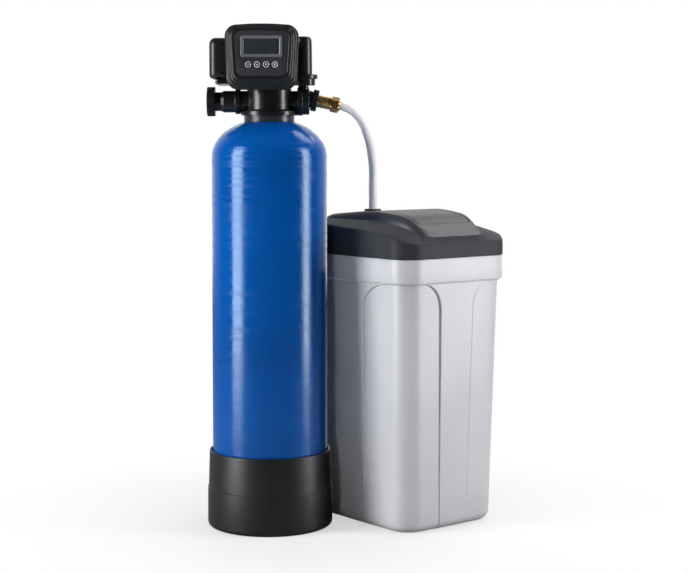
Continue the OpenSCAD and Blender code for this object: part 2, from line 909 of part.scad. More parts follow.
module drive_gear() {
    color("#e9e6da") translate([0, 0, gear_z]) difference() {
        linear_extrude(gear_w) rotate(180 / gear_teeth) polygon(gear_outline(gear_teeth));
        rod(shaft_r + run_gap, -over, gear_w + over);
        for (i = [0 : gear_holes - 1]) rotate(i * 360 / gear_holes)
            translate([gear_pitch_r * gear_hole_ring, 0, 0])
                rod(gear_pitch_r * gear_hole_share, -over, gear_w + over);
    }
}

module motor_pinion() {
    color("#d9c48c") translate([-gear_distance, 0, 0]) {
        translate([0, 0, gear_z]) linear_extrude(gear_w) polygon(gear_outline(pinion_teeth));
        rod(pinion_shaft_r, gear_z - seat_gap, motor_z + motor_socket);
    }
}

module drive_motor() {
    color("#9a9da2") translate([-gear_distance, 0, 0]) difference() {
        union() {
            rod(motor_r, motor_z + seat_gap, motor_z + motor_h);
            translate([0, 0, motor_z + seat_gap]) linear_extrude(motor_ear_t)
                round_rect(motor_ear_w, 2 * (post_offset + motor_ear_end), motor_ear_corner);
        }
        rod(pinion_shaft_r + run_gap, motor_z - over, motor_z + motor_socket + over);
    }
}

// Outlet

module outlet_adapter() {
    flange_end = outlet_x + outlet_flange_w;
    barrel_stop = outlet_x + outlet_barrel;
    neck_start = barrel_stop + outlet_taper;
    color("#1f2124") toward_left() {
        rotate_extrude() polygon([[outlet_bore_r, outlet_x + seat_gap],
            [outlet_flange_r, outlet_x + seat_gap], [outlet_flange_r, flange_end],
            [stub_r, flange_end], [stub_r, barrel_stop], [outlet_neck_r, neck_start],
            [outlet_neck_r, outlet_end - tail_t], [tail_r, outlet_end - tail_t],
            [tail_r, outlet_end], [outlet_bore_r, outlet_end]]);
        difference() {
            union() {
                rod(spider_hub_r, spider_x, spider_x + spider_t);
                for (a = [0, 90]) rotate(a) translate([0, 0, spider_x + spider_t / 2])
                    cube([2 * outlet_bore_r + over, spider_arm, spider_t], center = true);
            }
            rod(axle_r + run_gap, spider_x - over, spider_x + spider_t + over);
        }
    }
}

module outlet_union_nut() {
    nut_end_x = union_x0 + union_w;
    core_r = union_r - union_rib_h;
    hole_r = outlet_neck_r + slide_gap;
    color("#1b1d20") toward_left() difference() {
        union() {
            rotate_extrude() polygon([[hole_r, union_x0], [core_r - union_edge, union_x0],
                [core_r, union_x0 + union_edge], [core_r, nut_end_x - union_edge],
                [core_r - union_edge, nut_end_x], [hole_r, nut_end_x]]);
            for (i = [0 : union_ribs - 1]) rotate(i * 360 / union_ribs)
                translate([core_r - over, -union_rib_w / 2, union_x0 + union_edge])
                    cube([union_rib_h + over, union_rib_w, union_w - 2 * union_edge]);
        }
        rod(tail_r + slide_gap, union_x0 + union_lip, nut_end_x + over);
        rod(union_socket_r, outlet_end + seat_gap, nut_end_x + over);
    }
}

module meter_turbine() {
    hub_in = turbine_hub_r / 2;
    color("#3f6fb5") toward_left() {
        rod(turbine_hub_r, turbine_x, turbine_x + turbine_w);
        rod(axle_r, turbine_x + over, spider_x + spider_t - axle_in);
        for (i = [0 : turbine_blades - 1]) rotate(i * 360 / turbine_blades)
            translate([hub_in, -blade_t / 2, turbine_x])
                cube([outlet_bore_r - blade_gap - hub_in, blade_t, turbine_w]);
    }
}

module inlet_adapter() {
    flange_end = outlet_x + outlet_flange_w;
    thread_z = flange_end + thread_shoulder_l;
    color("#1f2124") toward_back() difference() {
        union() {
            rod(outlet_flange_r, outlet_x + seat_gap, flange_end);
            rod(thread_r + thread_shoulder, flange_end - eps, thread_z);
            rod(thread_r, thread_z - eps, thread_z + thread_l);
        }
        rod(thread_r - thread_wall, outlet_x, thread_z + thread_l + over);
    }
}

module drain_tail() {
    flange_end = outlet_x + drain_flange_w;
    color("#1f2124") translate([drain_x, 0, 0]) toward_back() difference() {
        union() {
            rod(drain_stub_r, outlet_x + seat_gap, flange_end);
            rod(drain_tail_r, flange_end - eps, flange_end + drain_tail_l);
        }
        rod(drain_tail_bore, outlet_x, flange_end + drain_tail_l + over);
    }
}

// Brine side of the valve

module brine_port() {
    barrel_x = brine_port_x + brine_flange_w;
    barrel_stop = pivot_x - collar_r * sin(fitting_tilt) - seat_gap;
    color("#1b1d20") difference() {
        union() {
            toward_right() rod(brine_flange_r, brine_port_x + seat_gap, barrel_x);
            toward_right() rod(brine_barrel_r, barrel_x - eps, barrel_stop);
            along_fitting() rod(elbow_r, barrel_stop - pivot_x - elbow_lap, 0);
            along_fitting() rod(nose_r, -over, nose_l);
            translate([actuator_x, 0, 0]) rod(actuator_boss_r, port_z, boss_top);
        }
        toward_right() rod(small_bore_r, brine_port_x, barrel_stop - port_plug);
        along_fitting() rod(small_bore_r, -brine_port_l / 3, nose_l + over);
    }
}

module lock_collar() {
    color("#191b1e") along_fitting() difference() {
        rod(collar_r, slide_gap, slide_gap + collar_w);
        rod(nose_r + slide_gap, 0, nose_l + collar_room);
        rod(barrel_r + slide_gap, 0, slide_gap + collar_w + over);
        for (i = [0 : collar_flutes - 1]) rotate(i * 360 / collar_flutes)
            translate([collar_r + flute_out, 0, 0]) rod(flute_r, 0, slide_gap + collar_w + over);
    }
}

module brass_barrel() {
    flange_z = nose_l + seat_gap;
    color("#b98a45") along_fitting() difference() {
        union() {
            rod(nose_r - barrel_lip, flange_z, flange_z + barrel_flange_t);
            rod(barrel_r, flange_z + barrel_flange_t - eps, nut_start - seat_gap);
            rod(barrel_tail_r, nut_start - over, barrel_end);
        }
        rod(barrel_bore_r, 0, barrel_end + over);
        for (i = [0 : groove_count - 1]) let(s = groove_start + i * groove_pitch)
            ring(barrel_r + over, barrel_r - groove_depth, s, s + groove_len);
    }
}

module brass_nut() {
    color("#b58540") along_fitting() difference() {
        rotate(30) translate([0, 0, nut_start])
            cylinder(d = nut_af / cos(30), h = nut_end - nut_start, $fn = 6);
        rod(nut_bore_r, nut_start - over, nut_end - nut_throat);
        rod(hose_hole_r, nut_start, nut_end + over);
    }
}

module hose_ferrule() {
    color("#c79a55") along_fitting() ring(nut_bore_r - ferrule_gap, hose_d / 2 + seat_gap,
        barrel_end + seat_gap, nut_end - nut_throat - seat_gap);
}

module actuator_base() {
    color("#1b1d20") translate([actuator_x, 0, 0]) {
        rod(actuator_neck_r, boss_top + seat_gap, drum_z + eps);
        rod(can_flange_r - actuator_drum_in, drum_z, can_flange_z + eps);
        rod(can_flange_r, can_flange_z, can_z);
    }
}

module actuator_can() {
    color("#202226") translate([actuator_x, 0, can_z + seat_gap]) rotate_extrude() {
        square([can_r, can_h - can_round]);
        square([can_r - can_round, can_h]);
        intersection() {
            translate([can_r - can_round, can_h - can_round]) circle(can_round);
            square([can_r, can_h]);
        }
    }
}

// Control head

module chassis_screw_places() {
    for (i = [0 : chassis_screw_count - 1]) rotate((i + 0.5) * 360 / chassis_screw_count)
        translate([chassis_screw_ring, 0, 0]) children();
}

module head_chassis() {
    color("#17191c") difference() {
        union() {
            rod(valve_r - chassis_boss_in, valve_top + seat_gap, chassis_z + eps);
            translate([plate_mid, (housing_back - cover_back) / 2, chassis_z]) linear_extrude(chassis_t)
                round_rect(2 * (housing_right - plate_mid), housing_depth - 2 * seat_gap, chassis_corner);
            for (y = [-1, 1]) translate([-gear_distance, y * post_offset, 0])
                rod(post_r, floor_z - eps, motor_z);
        }
        rod(shaft_r + run_gap, valve_top, floor_z + over);
        rod(shaft_foot_r + shaft_foot_room, valve_top, valve_top + shaft_foot_h + over);
        chassis_screw_places() rod(chassis_screw_hole_r, valve_top, floor_z + over);
    }
}

module chassis_screws() {
    color("#b4b7bb") chassis_screw_places() {
        rod(chassis_screw_r, valve_top - chassis_screw_in, floor_z + chassis_head_h - eps);
        rod(chassis_head_r, floor_z + seat_gap, floor_z + chassis_head_h);
    }
}

module rear_housing() {
    low = floor_z + seat_gap;
    mid_z = low + housing_h / 2;
    width = housing_left + housing_right;
    depth = housing_depth - seat_gap;
    color("#1d1f22") difference() {
        front_view(housing_back) translate([housing_mid, mid_z])
            linear_extrude(depth) round_rect(width, housing_h, housing_corner);
        front_view(housing_back - housing_wall) translate([housing_mid, mid_z - housing_wall])
            linear_extrude(depth - 2 * housing_wall)
            round_rect(width - 2 * housing_wall, housing_h, housing_corner - housing_wall);
        cover_window(cover_plate + housing_wall);
        translate([0, -cover_back + 2 * housing_wall, 0]) cover_screw_places()
            rod(screw_hole_r, 0, 3 * housing_wall);
    }
}

// Opening between the front cover and the rear housing
module cover_window(depth) {
    translate([window_x0, -cover_back - depth, window_z0])
        cube([window_x1 - window_x0, 2 * depth, window_z1 - window_z0]);
}

module cover_screw_places() {
    for (x = [window_x0 - screw_inset, window_x1 + screw_inset],
        z = [window_z0 + screw_high, window_z1 - screw_high])
        translate([x, 0, z]) rotate([90, 0, 0]) children();
}

module cover_screws() {
    color("#b4b7bb") translate([0, -cover_back + housing_wall, 0]) cover_screw_places() {
        rod(screw_r, -seat_gap - eps, housing_wall + screw_in);
        rod(screw_head_r, -screw_head_h, -seat_gap);
    }
}

// Outline of the front cover, drawn in by side, top and bottom insets
function cover_outline(side, top, bottom, r) = rounded([
    [-cover_w / 2 + cover_taper + side - cover_shift, cover_z0 + bottom],
    [cover_w / 2 - cover_taper - side - cover_shift, cover_z0 + bottom],
    [cover_w / 2 - side - cover_shift, cover_z1 - top],
    [-cover_w / 2 + side - cover_shift, cover_z1 - top]], r);

module cover_layer(inset, y0, y1, r) {
    front_view(-y0) linear_extrude(y1 - y0)
        polygon(cover_outline(inset, 0.7 * inset, 1.4 * inset, r));
}

module front_cover() {
    bezel_hole_w = screen_w + 2 * (bezel_w - bezel_lap);
    bezel_hole_h = screen_h + 2 * (bezel_w - bezel_lap);
    color("#1a1c1f") difference() {
        union() {
            for (i = [1 : len(cover_steps) - 1]) cover_layer(cover_steps[i][0],
                cover_back + cover_depth * cover_steps[i - 1][1] - eps,
                cover_back + cover_depth * cover_steps[i][1], cover_corner - cover_steps[i][0] / 2);
        }
        cover_layer(panel_inset, panel_front, cover_front + over, cover_corner - panel_inset / 2);
        cover_cavity();
        cover_window(cover_plate + housing_wall);
        front_view(-panel_back + over) linear_extrude(2 * cover_depth) translate([-cover_shift, screen_z])
            square([bezel_hole_w, bezel_hole_h], center = true);
        button_places() rod(button_r + slide_gap, 0, 2 * cover_depth);
        translate([0, -cover_back, 0]) cover_screw_places() rod(screw_hole_r, -over, screw_in + screw_room);
    }
    color("#1a1c1f") board_post_places() rod(post_r, -board_gap, eps);
}

module cover_cavity() {
    difference() {
        cover_layer(cavity_inset, cover_back + cover_plate, panel_back, cover_corner - housing_wall);
        translate([0, -cover_back, 0]) cover_screw_places() rod(screw_r + screw_boss, 0, screw_boss_l);
    }
}

module button_places() {
    for (i = [0 : button_count - 1]) button_place(i) children();
}
module button_place(i) {
    translate([-cover_shift + (i - (button_count - 1) / 2) * button_pitch, -panel_back, button_z])
        rotate([90, 0, 0]) children();
}
module board_post_places() {
    for (x = [-1, 1], z = [board_z0 + board_screw_in, board_z1 - board_screw_in])
        translate([-cover_shift + x * (board_w / 2 - board_screw_in), -panel_back, z])
            rotate([90, 0, 0]) children();
}

module button(i) {
    color("#26282c") button_place(i) {
        rod(button_r, -seat_gap - eps, panel_t + button_proud);
        rod(button_r + button_flange, -seat_gap - button_flange_t, -seat_gap);
    }
}
module button_1() { button(0); }
module button_2() { button(1); }
module button_3() { button(2); }
module button_4() { button(3); }

module display_bezel() {
    depth = panel_t - seat_gap;
    lap = 2 * (bezel_w - bezel_lap - seat_gap);
    color("#55565c") translate([-cover_shift, 0, screen_z]) front_view(-panel_front) {
        difference() {
            union() {
                translate([0, 0, seat_gap / 3]) linear_extrude(bezel_out)
                    round_rect(screen_w + 2 * bezel_w, screen_h + 2 * bezel_w, bezel_corner);
                translate([0, 0, -depth]) linear_extrude(depth + over)
                    square([screen_w + lap, screen_h + lap], center = true);
            }
            translate([0, 0, -depth - over]) linear_extrude(depth + bezel_out + 2 * over)
                square([screen_w, screen_h], center = true);
        }
    }
}

module display_window() {
    color("#26282c") translate([-cover_shift, 0, screen_z]) front_view(-panel_back - window_sink)
        linear_extrude(panel_t) square([screen_w - seat_gap, screen_h - seat_gap], center = true);
}

module circuit_board() {
    mid_z = (board_z0 + board_z1) / 2;
    color("#2f6b46") {
        translate([-cover_shift, 0, mid_z]) front_view(-board_front + board_t) linear_extrude(board_t)
            square([board_w, board_z1 - board_z0], center = true);
        button_places() rod(switch_r, -board_gap - eps, -board_gap + switch_h);
        translate([-cover_shift, 0, screen_z]) front_view(-board_front) linear_extrude(board_gap - seat_gap)
            square([screen_w - 2 * display_side, screen_h - 2 * display_high], center = true);
    }
}

// Salt tank

// Half width of the tapered side and of the room inside it at a height
function side_half(z) = salt_foot + (salt_top - salt_foot) * z / band_z;
function inner_half(z) = side_half(z) - pillar_depth - salt_wall;

// Half width of the raised panel at a height
function panel_at(z) = panel_foot + (panel_half - panel_foot) * z / band_z;

// Ring of the tank: half width w, pillars sunk by d, and the share of the arches that is cut from them
function salt_ring(z, w, r, d, share) = [for (q = [0 : 3]) let(
    deep = q % 2 == 1,
    half = deep ? w + salt_mid : w,
    reach = deep ? w : w + salt_mid,
    p = panel_at(min(z, band_z)) + share * (deep ? side_arch_w : arch_w)) each [for (point = concat(
    [[-p - groove_w, d - reach], [-p, -reach], [p, -reach], [p + groove_w, d - reach]],
    [for (i = [0 : corner_steps]) let(a = -90 + 90 * i / corner_steps)
        [half - r + (r - d) * cos(a), r - reach + (r - d) * sin(a)]]))
    [point[0] * cos(90 * q) - point[1] * sin(90 * q),
        salt_mid + point[0] * sin(90 * q) + point[1] * cos(90 * q), z]]];

module brine_tank() {
    side_corner = salt_corner - band_slope;
    under_z = band_z - band_slope;
    outer = concat(
        [for (a = [0 : 30 : 60]) let(z = salt_edge * (1 - cos(a)), in = salt_edge * (1 - sin(a)))
            salt_ring(z, side_half(z) - in, salt_corner - in / 2, pillar_foot, 0)],
        [salt_ring(salt_edge, side_half(salt_edge), salt_corner, pillar_foot, 0)],
        [for (i = [0 : arch_steps]) let(a = 90 * i / arch_steps, z = band_z - arch_h * (1 - sin(a)))
            salt_ring(z, side_half(z), salt_corner, pillar_depth, 1 - cos(a))],
        [salt_ring(band_z + eps, band_half - band_lip, salt_corner, 0, 1),
            salt_ring(band_z + band_lip, band_half, salt_corner, 0, 1),
            salt_ring(rim_z - rim_edge, band_half, salt_corner, 0, 1),
            salt_ring(rim_z, band_half - rim_edge, salt_corner - rim_edge, 0, 1)]);
    inner = [salt_ring(rim_z, rim_in, rim_corner, 0, 1),
        salt_ring(band_z + band_lip, rim_in, rim_corner, 0, 1),
        salt_ring(under_z, inner_half(under_z), side_corner, 0, 1),
        salt_ring(salt_edge + inner_foot, inner_half(salt_edge + inner_foot), side_corner, 0, 0),
        salt_ring(salt_floor, inner_half(salt_floor) - inner_edge, salt_corner - inner_edge, 0, 0)];
    color("#c9cace") in_salt_tank() difference() {
        union() {
            skin(concat(outer, inner));
            overflow_axis() rod(overflow_flange_r + overflow_pad, -overflow_boss, overflow_face);
        }
        overflow_axis() rod(overflow_r + seat_gap, -overflow_boss - over, overflow_face + over);
    }
}

// Overflow axis: outwards through the back wall, from the wall's inner face
module overflow_axis() {
    translate([overflow_u, inner_half(overflow_z) + salt_deep, overflow_z]) rotate([-90, 0, 0]) children();
}

module overflow_elbow() {
    clamp_end = overflow_face + overflow_clamp;
    color("#2a2c30") in_salt_tank() overflow_axis() difference() {
        union() {
            rod(overflow_flange_r, -overflow_boss - overflow_flange_t, -overflow_boss - seat_gap);
            rod(overflow_r, overflow_bend, clamp_end);
            rod(overflow_tail_r, 0, clamp_end + overflow_tail);
            translate([0, 0, overflow_bend]) rotate([-90, 0, 0])
                rod(overflow_down_r, -overflow_down_r, overflow_down);
        }
        rod(overflow_r - overflow_wall, overflow_bend, clamp_end + overflow_tail + over);
        translate([0, 0, overflow_bend]) rotate([-90, 0, 0])
            rod(overflow_down_r - overflow_wall, 0, overflow_down + over);
    }
}

module overflow_nut() {
    low = overflow_face + seat_gap;
    color("#2a2c30") in_salt_tank() overflow_axis() difference() {
        rotate(30) translate([0, 0, low]) cylinder(r = overflow_nut_r, h = overflow_nut_w, $fn = 6);
        rod(overflow_r + seat_gap, overflow_face, low + overflow_nut_w + over);
    }
}

module salt_platform() {
    wide = 2 * (inner_half(platform_z) - platform_gap);
    low = platform_z - platform_t;
    color("#3a3d42") in_salt_tank() difference() {
        union() {
            translate([0, salt_mid, low]) linear_extrude(platform_t)
                round_rect(wide, wide + salt_deep, platform_corner);
            for (u = [-leg_place, leg_place], v = [-leg_place, leg_place + sieve_more * sieve_pitch])
                translate([u, v, 0])
                    rod(leg_r, salt_floor + seat_gap, platform_z - eps);
        }
        translate([drop_u, drop_v, 0]) rod(well_r + seat_gap, 0, platform_z + over);
        for (i = [-sieve_rows : sieve_rows], j = [-sieve_rows : sieve_rows + sieve_more])
            let(p = sieve_pitch * [i, j])
            if (norm(p - [drop_u, drop_v]) > well_r + 2 * sieve_r)
                translate([p[0], p[1], 0]) rod(sieve_r, low - over, platform_z + over);
    }
}

module brine_well() {
    color("#dcdde0") at_drop() difference() {
        ring(well_r, well_r - well_wall, well_foot, well_top);
        for (i = [0 : well_slots - 1]) rotate(i * 360 / well_slots)
            translate([0, -well_slot_w / 2, well_foot + well_slot_z])
                cube([well_r + over, well_slot_w, well_slot_h]);
    }
}

module well_cap() {
    plug_r = well_r - well_wall - seat_gap;
    top = well_top + cap_t;
    color("#2a2c30") at_drop() difference() {
        union() {
            rod(well_r + cap_lip, well_top + seat_gap, top);
            ring(plug_r, plug_r - cap_plug_t, well_top - cap_plug, well_top + seat_gap + eps);
        }
        rod(valve_case_r + seat_gap, well_top, top + over);
        translate([rod_off, 0, 0]) rod(rod_r + slide_gap, well_top, top + over);
    }
}

module safety_valve() {
    head_z = well_top + cap_t + case_head;
    color("#e2e3e6") at_drop() difference() {
        union() {
            rod(valve_case_r, case_z, head_z);
            rod(hose_d / 2, head_z - eps, nipple_top);
            rod(valve_case_r + case_flange, well_top + cap_t + seat_gap, head_z + over);
            translate([0, -guide_w / 2, case_z]) cube([rod_off + guide_w / 2, guide_w, guide_t]);
        }
        rod(case_bore_r, case_z - over, nipple_top + over);
        rod(pickup_r + seat_gap, case_z - over, case_z + pickup_in + 2 * over);
        translate([rod_off, 0, 0]) rod(rod_r + run_gap, case_z - over, case_z + guide_t + over);
    }
}

module brine_pickup() {
    color("#e8e8ea") at_drop()
        ring(pickup_r, pickup_r - pickup_wall, well_foot + check_h - pickup_low, case_z + pickup_in);
}

module air_check() {
    top = well_foot + check_h;
    color("#d5d6da") at_drop() difference() {
        rod(check_r, well_foot, top);
        rod(pickup_r + seat_gap, top - pickup_low - over, top + over);
        rod(check_r - check_wall, well_foot + check_floor, top - check_roof);
        rod(case_bore_r, top - check_roof - over, top);
        for (i = [0 : check_slots - 1]) rotate(i * 360 / check_slots)
            translate([0, -check_slot_w / 2, well_foot + check_slot_z])
                cube([check_r + over, check_slot_w, check_slot_h]);
    }
}

module float_rod() {
    guide_top = case_z + guide_t;
    stop_top = case_z - float_travel - seat_gap;
    color("#c9ccd0") at_drop() translate([rod_off, 0, 0]) {
        rod(rod_r, rod_low, guide_top + rod_top);
        rod(rod_r + stop_out, guide_top + seat_gap, guide_top + stop_h);
        rod(rod_r + stop_out, stop_top - stop_h, stop_top);
        rod(rod_r + rod_foot_out, rod_low - rod_foot_h / 2, rod_low + rod_foot_h / 2);
    }
}

module brine_float() {
    color("#e4d9a8") at_drop() translate([rod_off, 0, 0]) difference() {
        rod(float_r, float_z, float_z + float_h);
        rod(rod_r + run_gap, float_z - over, float_z + float_h + over);
    }
}

// Lid

// Height of the skirt's top edge, the ledge and the island's crown at a place v
function skirt_z(v) = lid_z + skirt_h + lookup(v, skirt_line);
function ledge_z(v) = lid_z + skirt_h + lookup(v, ledge_line);
function crown_z(v) = lid_z + skirt_h + lookup(v, crown_line);

// Distance from the middle to a rounded oblong and to the island's edge, along a ray
function oblong_ray(a, w, r) = let(
    c = max(eps, abs(cos(a))),
    s = max(eps, abs(sin(a))),
    k = [w - r, w - r + salt_mid],
    m = k * [c, s])
    w / c * s <= k[1] ? w / c : (w + salt_mid) / s * c <= k[0] ? (w + salt_mid) / s :
        m + sqrt(m * m - k * k + r * r);
function island_ray(a, inset) = pow(sum([for (i = [0 : len(island_plan) - 1]) let(
    p = island_plan[i],
    q = island_plan[(i + 1) % len(island_plan)],
    n = [q[1] - p[1], p[0] - q[0]] / norm(q - p),
    reach = n * (p - [0, salt_mid]) - inset,
    facing = n * [cos(a), sin(a)])
    facing > eps ? pow(facing / reach, island_soft) : 0]), -1 / island_soft);

// Lid rings by rays: an oblong ring with a height rule, and an island ring
function ray_angles() = [for (i = [0 : lid_rays - 1]) 360 * i / lid_rays];
function oblong_ring(w, rise, flat_z) = [for (a = ray_angles()) let(
    p = [0, salt_mid] + oblong_ray(a, w, lid_corner + w - lid_half) * [cos(a), sin(a)])
    [p[0], p[1], flat_z > 0 ? flat_z : skirt_z(p[1]) + rise]];
function island_ring(inset, share, drop, shrink) = [for (a = ray_angles()) let(
    p = [0, salt_mid] + island_ray(a, inset) * shrink * [cos(a), sin(a)],
    low = ledge_z(p[1]),
    high = max(low, crown_z(p[1])))
    [p[0], p[1], low + (high - low) * share - drop]];

module lid_shell() {
    lip_w = rim_in - 2 * slide_gap;
    lip_in = lip_w - lid_lip_t;
    wall_w = lid_half - lid_wall;
    island_in = island_slope + lid_wall;
    outside = concat([for (k = concat(crown_rings, [1])) island_ring(island_slope, 1, 0, k)],
        [for (s = slope_rings) island_ring(island_slope * s[0], s[1], 0, 1)],
        [for (e = edge_soft) oblong_ring(lid_half - e[0], e[1], 0)],
        [oblong_ring(lid_half, 0, lid_z)]);
    inside = concat([oblong_ring(lip_w, 0, lid_z), oblong_ring(lip_w, 0, lid_z - lid_lip),
        oblong_ring(lip_in, 0, lid_z - lid_lip), oblong_ring(lip_in, 0, lid_z + lid_lip_z),
        oblong_ring(wall_w, 0, lid_z + lid_inner_z), oblong_ring(wall_w - over, -lid_wall - 2 * over, 0),
        island_ring(lid_wall, 0, lid_wall, 1), island_ring(island_in, 1, lid_wall, 1)],
        [for (i = [len(crown_rings) - 2 : -1 : 0]) island_ring(island_in, 1, lid_wall, crown_rings[i])]);
    skin(flip_rings(concat(outside, inside)));
}
function flip_rings(rings) = [for (i = [len(rings) - 1 : -1 : 0]) rings[i]];

// Slab that follows the crown between two places and two depths, w wide
module crown_slab(v0, v1, d0, d1, w) {
    steps = 24;
    places = [for (i = [0 : steps]) v0 + (v1 - v0) * i / steps];
    translate([-w / 2, 0, 0]) rotate([90, 0, 90]) linear_extrude(w) polygon(concat(
        [for (v = places) [v, crown_z(v) - d1]],
        [for (i = [steps : -1 : 0]) [places[i], crown_z(places[i]) - d0]]));
}

// Prism over the hatch's plan, grown by a margin, with its back edge at a place
module hatch_prism(grow, back, z0, z1) {
    wide = hatch_w + 2 * grow;
    corner = hatch_corner + grow / 2;
    translate([0, 0, z0]) linear_extrude(z1 - z0) {
        translate([0, (back - hatch_front - grow) / 2]) round_rect(wide, back + hatch_front + grow, corner);
        translate([-wide / 2, 0]) square([wide, back]);
    }
}

module brine_lid() {
    back = hinge_v + hinge_drop + hatch_back_gap;
    high = lid_z + lid_top;
    color("#4b4d52") in_salt_tank() difference() {
        union() {
            difference() {
                union() {
                    lid_shell();
                    intersection() {
                        crown_slab(-hatch_front - 2 * curb_w, back + 2 * curb_w, curb_sink, curb_depth,
                            hatch_w + 6 * curb_w);
                        hatch_prism(hatch_gap + curb_w, back + curb_w, lid_z, high);
                    }
                }
                hatch_prism(hatch_gap, back, lid_z - lid_lip, high);
            }
            intersection() {
                crown_slab(-hatch_front - rest_w, hinge_v - curb_depth, hatch_t + seat_gap,
                    curb_depth - curb_sink, hatch_w + rest_w);
                difference() {
                    hatch_prism(hatch_gap + over, back, lid_z, high);
                    hatch_prism(-rest_w, back + over, lid_z - over, high + over);
                }
            }
        }
        translate([drop_u, drop_v, 0]) rod(grommet_sleeve_r + seat_gap, lid_z, high);
        translate([drop_u, drop_v, 0]) rod(grommet_r + seat_gap, grommet_seat, high);
        hinge_axis() rod(pin_r + run_gap / 2, -pin_half - pin_room, pin_half + pin_room);
    }
}

module hinge_axis() {
    translate([0, hinge_v, hinge_z]) rotate([0, 90, 0]) children();
}

module salt_hatch() {
    color("#54565b") in_salt_tank() difference() {
        union() {
            intersection() {
                crown_slab(-hatch_front, hinge_v, 0, hatch_t, hatch_w);
                hatch_prism(0, hinge_v + over, lid_z, lid_z + lid_top);
            }
            hinge_axis() rod(knuckle_r, -hatch_w / 2, hatch_w / 2);
        }
        hinge_axis() rod(pin_r + run_gap, -hatch_w, hatch_w);
    }
}

module hatch_pin() {
    color("#b4b7bb") in_salt_tank() hinge_axis() rod(pin_r, -pin_half, pin_half);
}

module hose_grommet() {
    low = grommet_seat - lid_wall - grommet_lap;
    color("#15171a") at_drop() difference() {
        union() {
            rod(grommet_r, grommet_seat + seat_gap, grommet_seat + grommet_h);
            rod(grommet_sleeve_r, low, grommet_seat + over);
        }
        rod(hose_d / 2 + slide_gap, low - over, grommet_seat + grommet_h + over);
    }
}

// Hose

// Direction of the route at point i
function heading(i) = let(last = len(hose_route) - 1,
    a = hose_route[max(0, i - 1)],
    b = hose_route[min(last, i + 1)])
    (b - a) / norm(b - a);

module brine_hose() {
    color("#c8c9cd") skin([for (i = [0 : len(hose_route) - 1]) let(
        t = heading(i),
        side = cross([0, 1, 0], t) / norm(cross([0, 1, 0], t)),
        up = cross(t, side))
        [for (k = [0 : hose_sides - 1]) let(a = 360 * k / hose_sides)
            hose_route[i] + hose_d / 2 * (cos(a) * side + sin(a) * up)]]);
}

tank_base();
tank_shell();
neck_insert();
riser_tube();
bottom_distributor();
top_distributor();
resin_bed();
valve_body();
neck_seal();
outlet_adapter();
outlet_union_nut();
meter_turbine();
inlet_adapter();
drain_tail();
brine_port();
lock_collar();
brass_barrel();
brass_nut();
hose_ferrule();
actuator_base();
actuator_can();
head_chassis();
rear_housing();
front_cover();
display_bezel();
display_window();
button_1();
button_2();
button_3();
button_4();
circuit_board();
cover_screws();
chassis_screws();
fixed_disc();
moving_disc();
drive_shaft();
drive_gear();
drive_motor();
motor_pinion();
brine_tank();
brine_lid();
hose_grommet();
salt_hatch();
hatch_pin();
salt_platform();
brine_well();
well_cap();
safety_valve();
brine_pickup();
air_check();
float_rod();
brine_float();
overflow_elbow();
overflow_nut();
brine_hose();
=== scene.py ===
"""Looks of a water softener: a wound blue pressure vessel with its valve head, and an oblong salt tank.

Metres, +Z up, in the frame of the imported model. The panel faces -Y and the salt tank stands at +X.
"""
import json
import math

import bmesh
import bpy
from mathutils import Matrix, Vector


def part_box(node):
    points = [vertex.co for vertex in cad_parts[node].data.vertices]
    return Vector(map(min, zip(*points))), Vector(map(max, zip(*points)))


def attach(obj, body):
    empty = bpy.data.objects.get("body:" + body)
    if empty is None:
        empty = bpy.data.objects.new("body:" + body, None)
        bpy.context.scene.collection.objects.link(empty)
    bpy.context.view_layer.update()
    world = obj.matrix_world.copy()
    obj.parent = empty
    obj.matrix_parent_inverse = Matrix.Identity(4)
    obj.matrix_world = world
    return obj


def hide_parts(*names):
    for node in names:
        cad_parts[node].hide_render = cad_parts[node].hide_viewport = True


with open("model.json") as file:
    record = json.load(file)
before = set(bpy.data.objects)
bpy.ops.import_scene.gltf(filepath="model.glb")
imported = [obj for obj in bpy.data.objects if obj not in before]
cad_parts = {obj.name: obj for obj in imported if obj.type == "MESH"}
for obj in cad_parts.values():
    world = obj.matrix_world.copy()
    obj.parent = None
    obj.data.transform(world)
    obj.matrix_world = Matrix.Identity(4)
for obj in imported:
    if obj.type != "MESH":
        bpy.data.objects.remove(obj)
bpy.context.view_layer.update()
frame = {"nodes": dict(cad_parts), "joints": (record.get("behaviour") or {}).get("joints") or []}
joints = {joint["name"]: joint for joint in frame["joints"]}
MM = 0.001
SHARP = 35


# Outlines and meshes

def mm(*values):
    """Lengths given in millimetres, in metres."""
    return tuple(value * MM for value in values)


def linked(name, data):
    """New object with its data, in the scene."""
    thing = bpy.data.objects.new(name, data)
    bpy.context.scene.collection.objects.link(thing)
    return thing


def painted(data, material):
    """Gives the data of a piece or node one material alone."""
    data.materials.clear()
    data.materials.append(material)


def corner_arc(before, corner, after, radius, steps):
    """Points of an arc that rounds a corner of an outline."""
    a = (before - corner).normalized()
    b = (after - corner).normalized()
    half = a.angle(b, math.pi) / 2
    if radius <= 0 or half > math.radians(89):
        return [corner]
    reach = min(radius / math.tan(half), (before - corner).length / 2, (after - corner).length / 2)
    radius = reach * math.tan(half)
    middle = corner + (a + b).normalized() * (radius / math.sin(half))
    start = corner + a * reach - middle
    end = corner + b * reach - middle
    angle = math.atan2(start.y, start.x)
    turn = math.remainder(math.atan2(end.y, end.x) - angle, math.tau)
    angles = [angle + turn * i / steps for i in range(steps + 1)]
    return [middle + radius * Vector((math.cos(t), math.sin(t))) for t in angles]


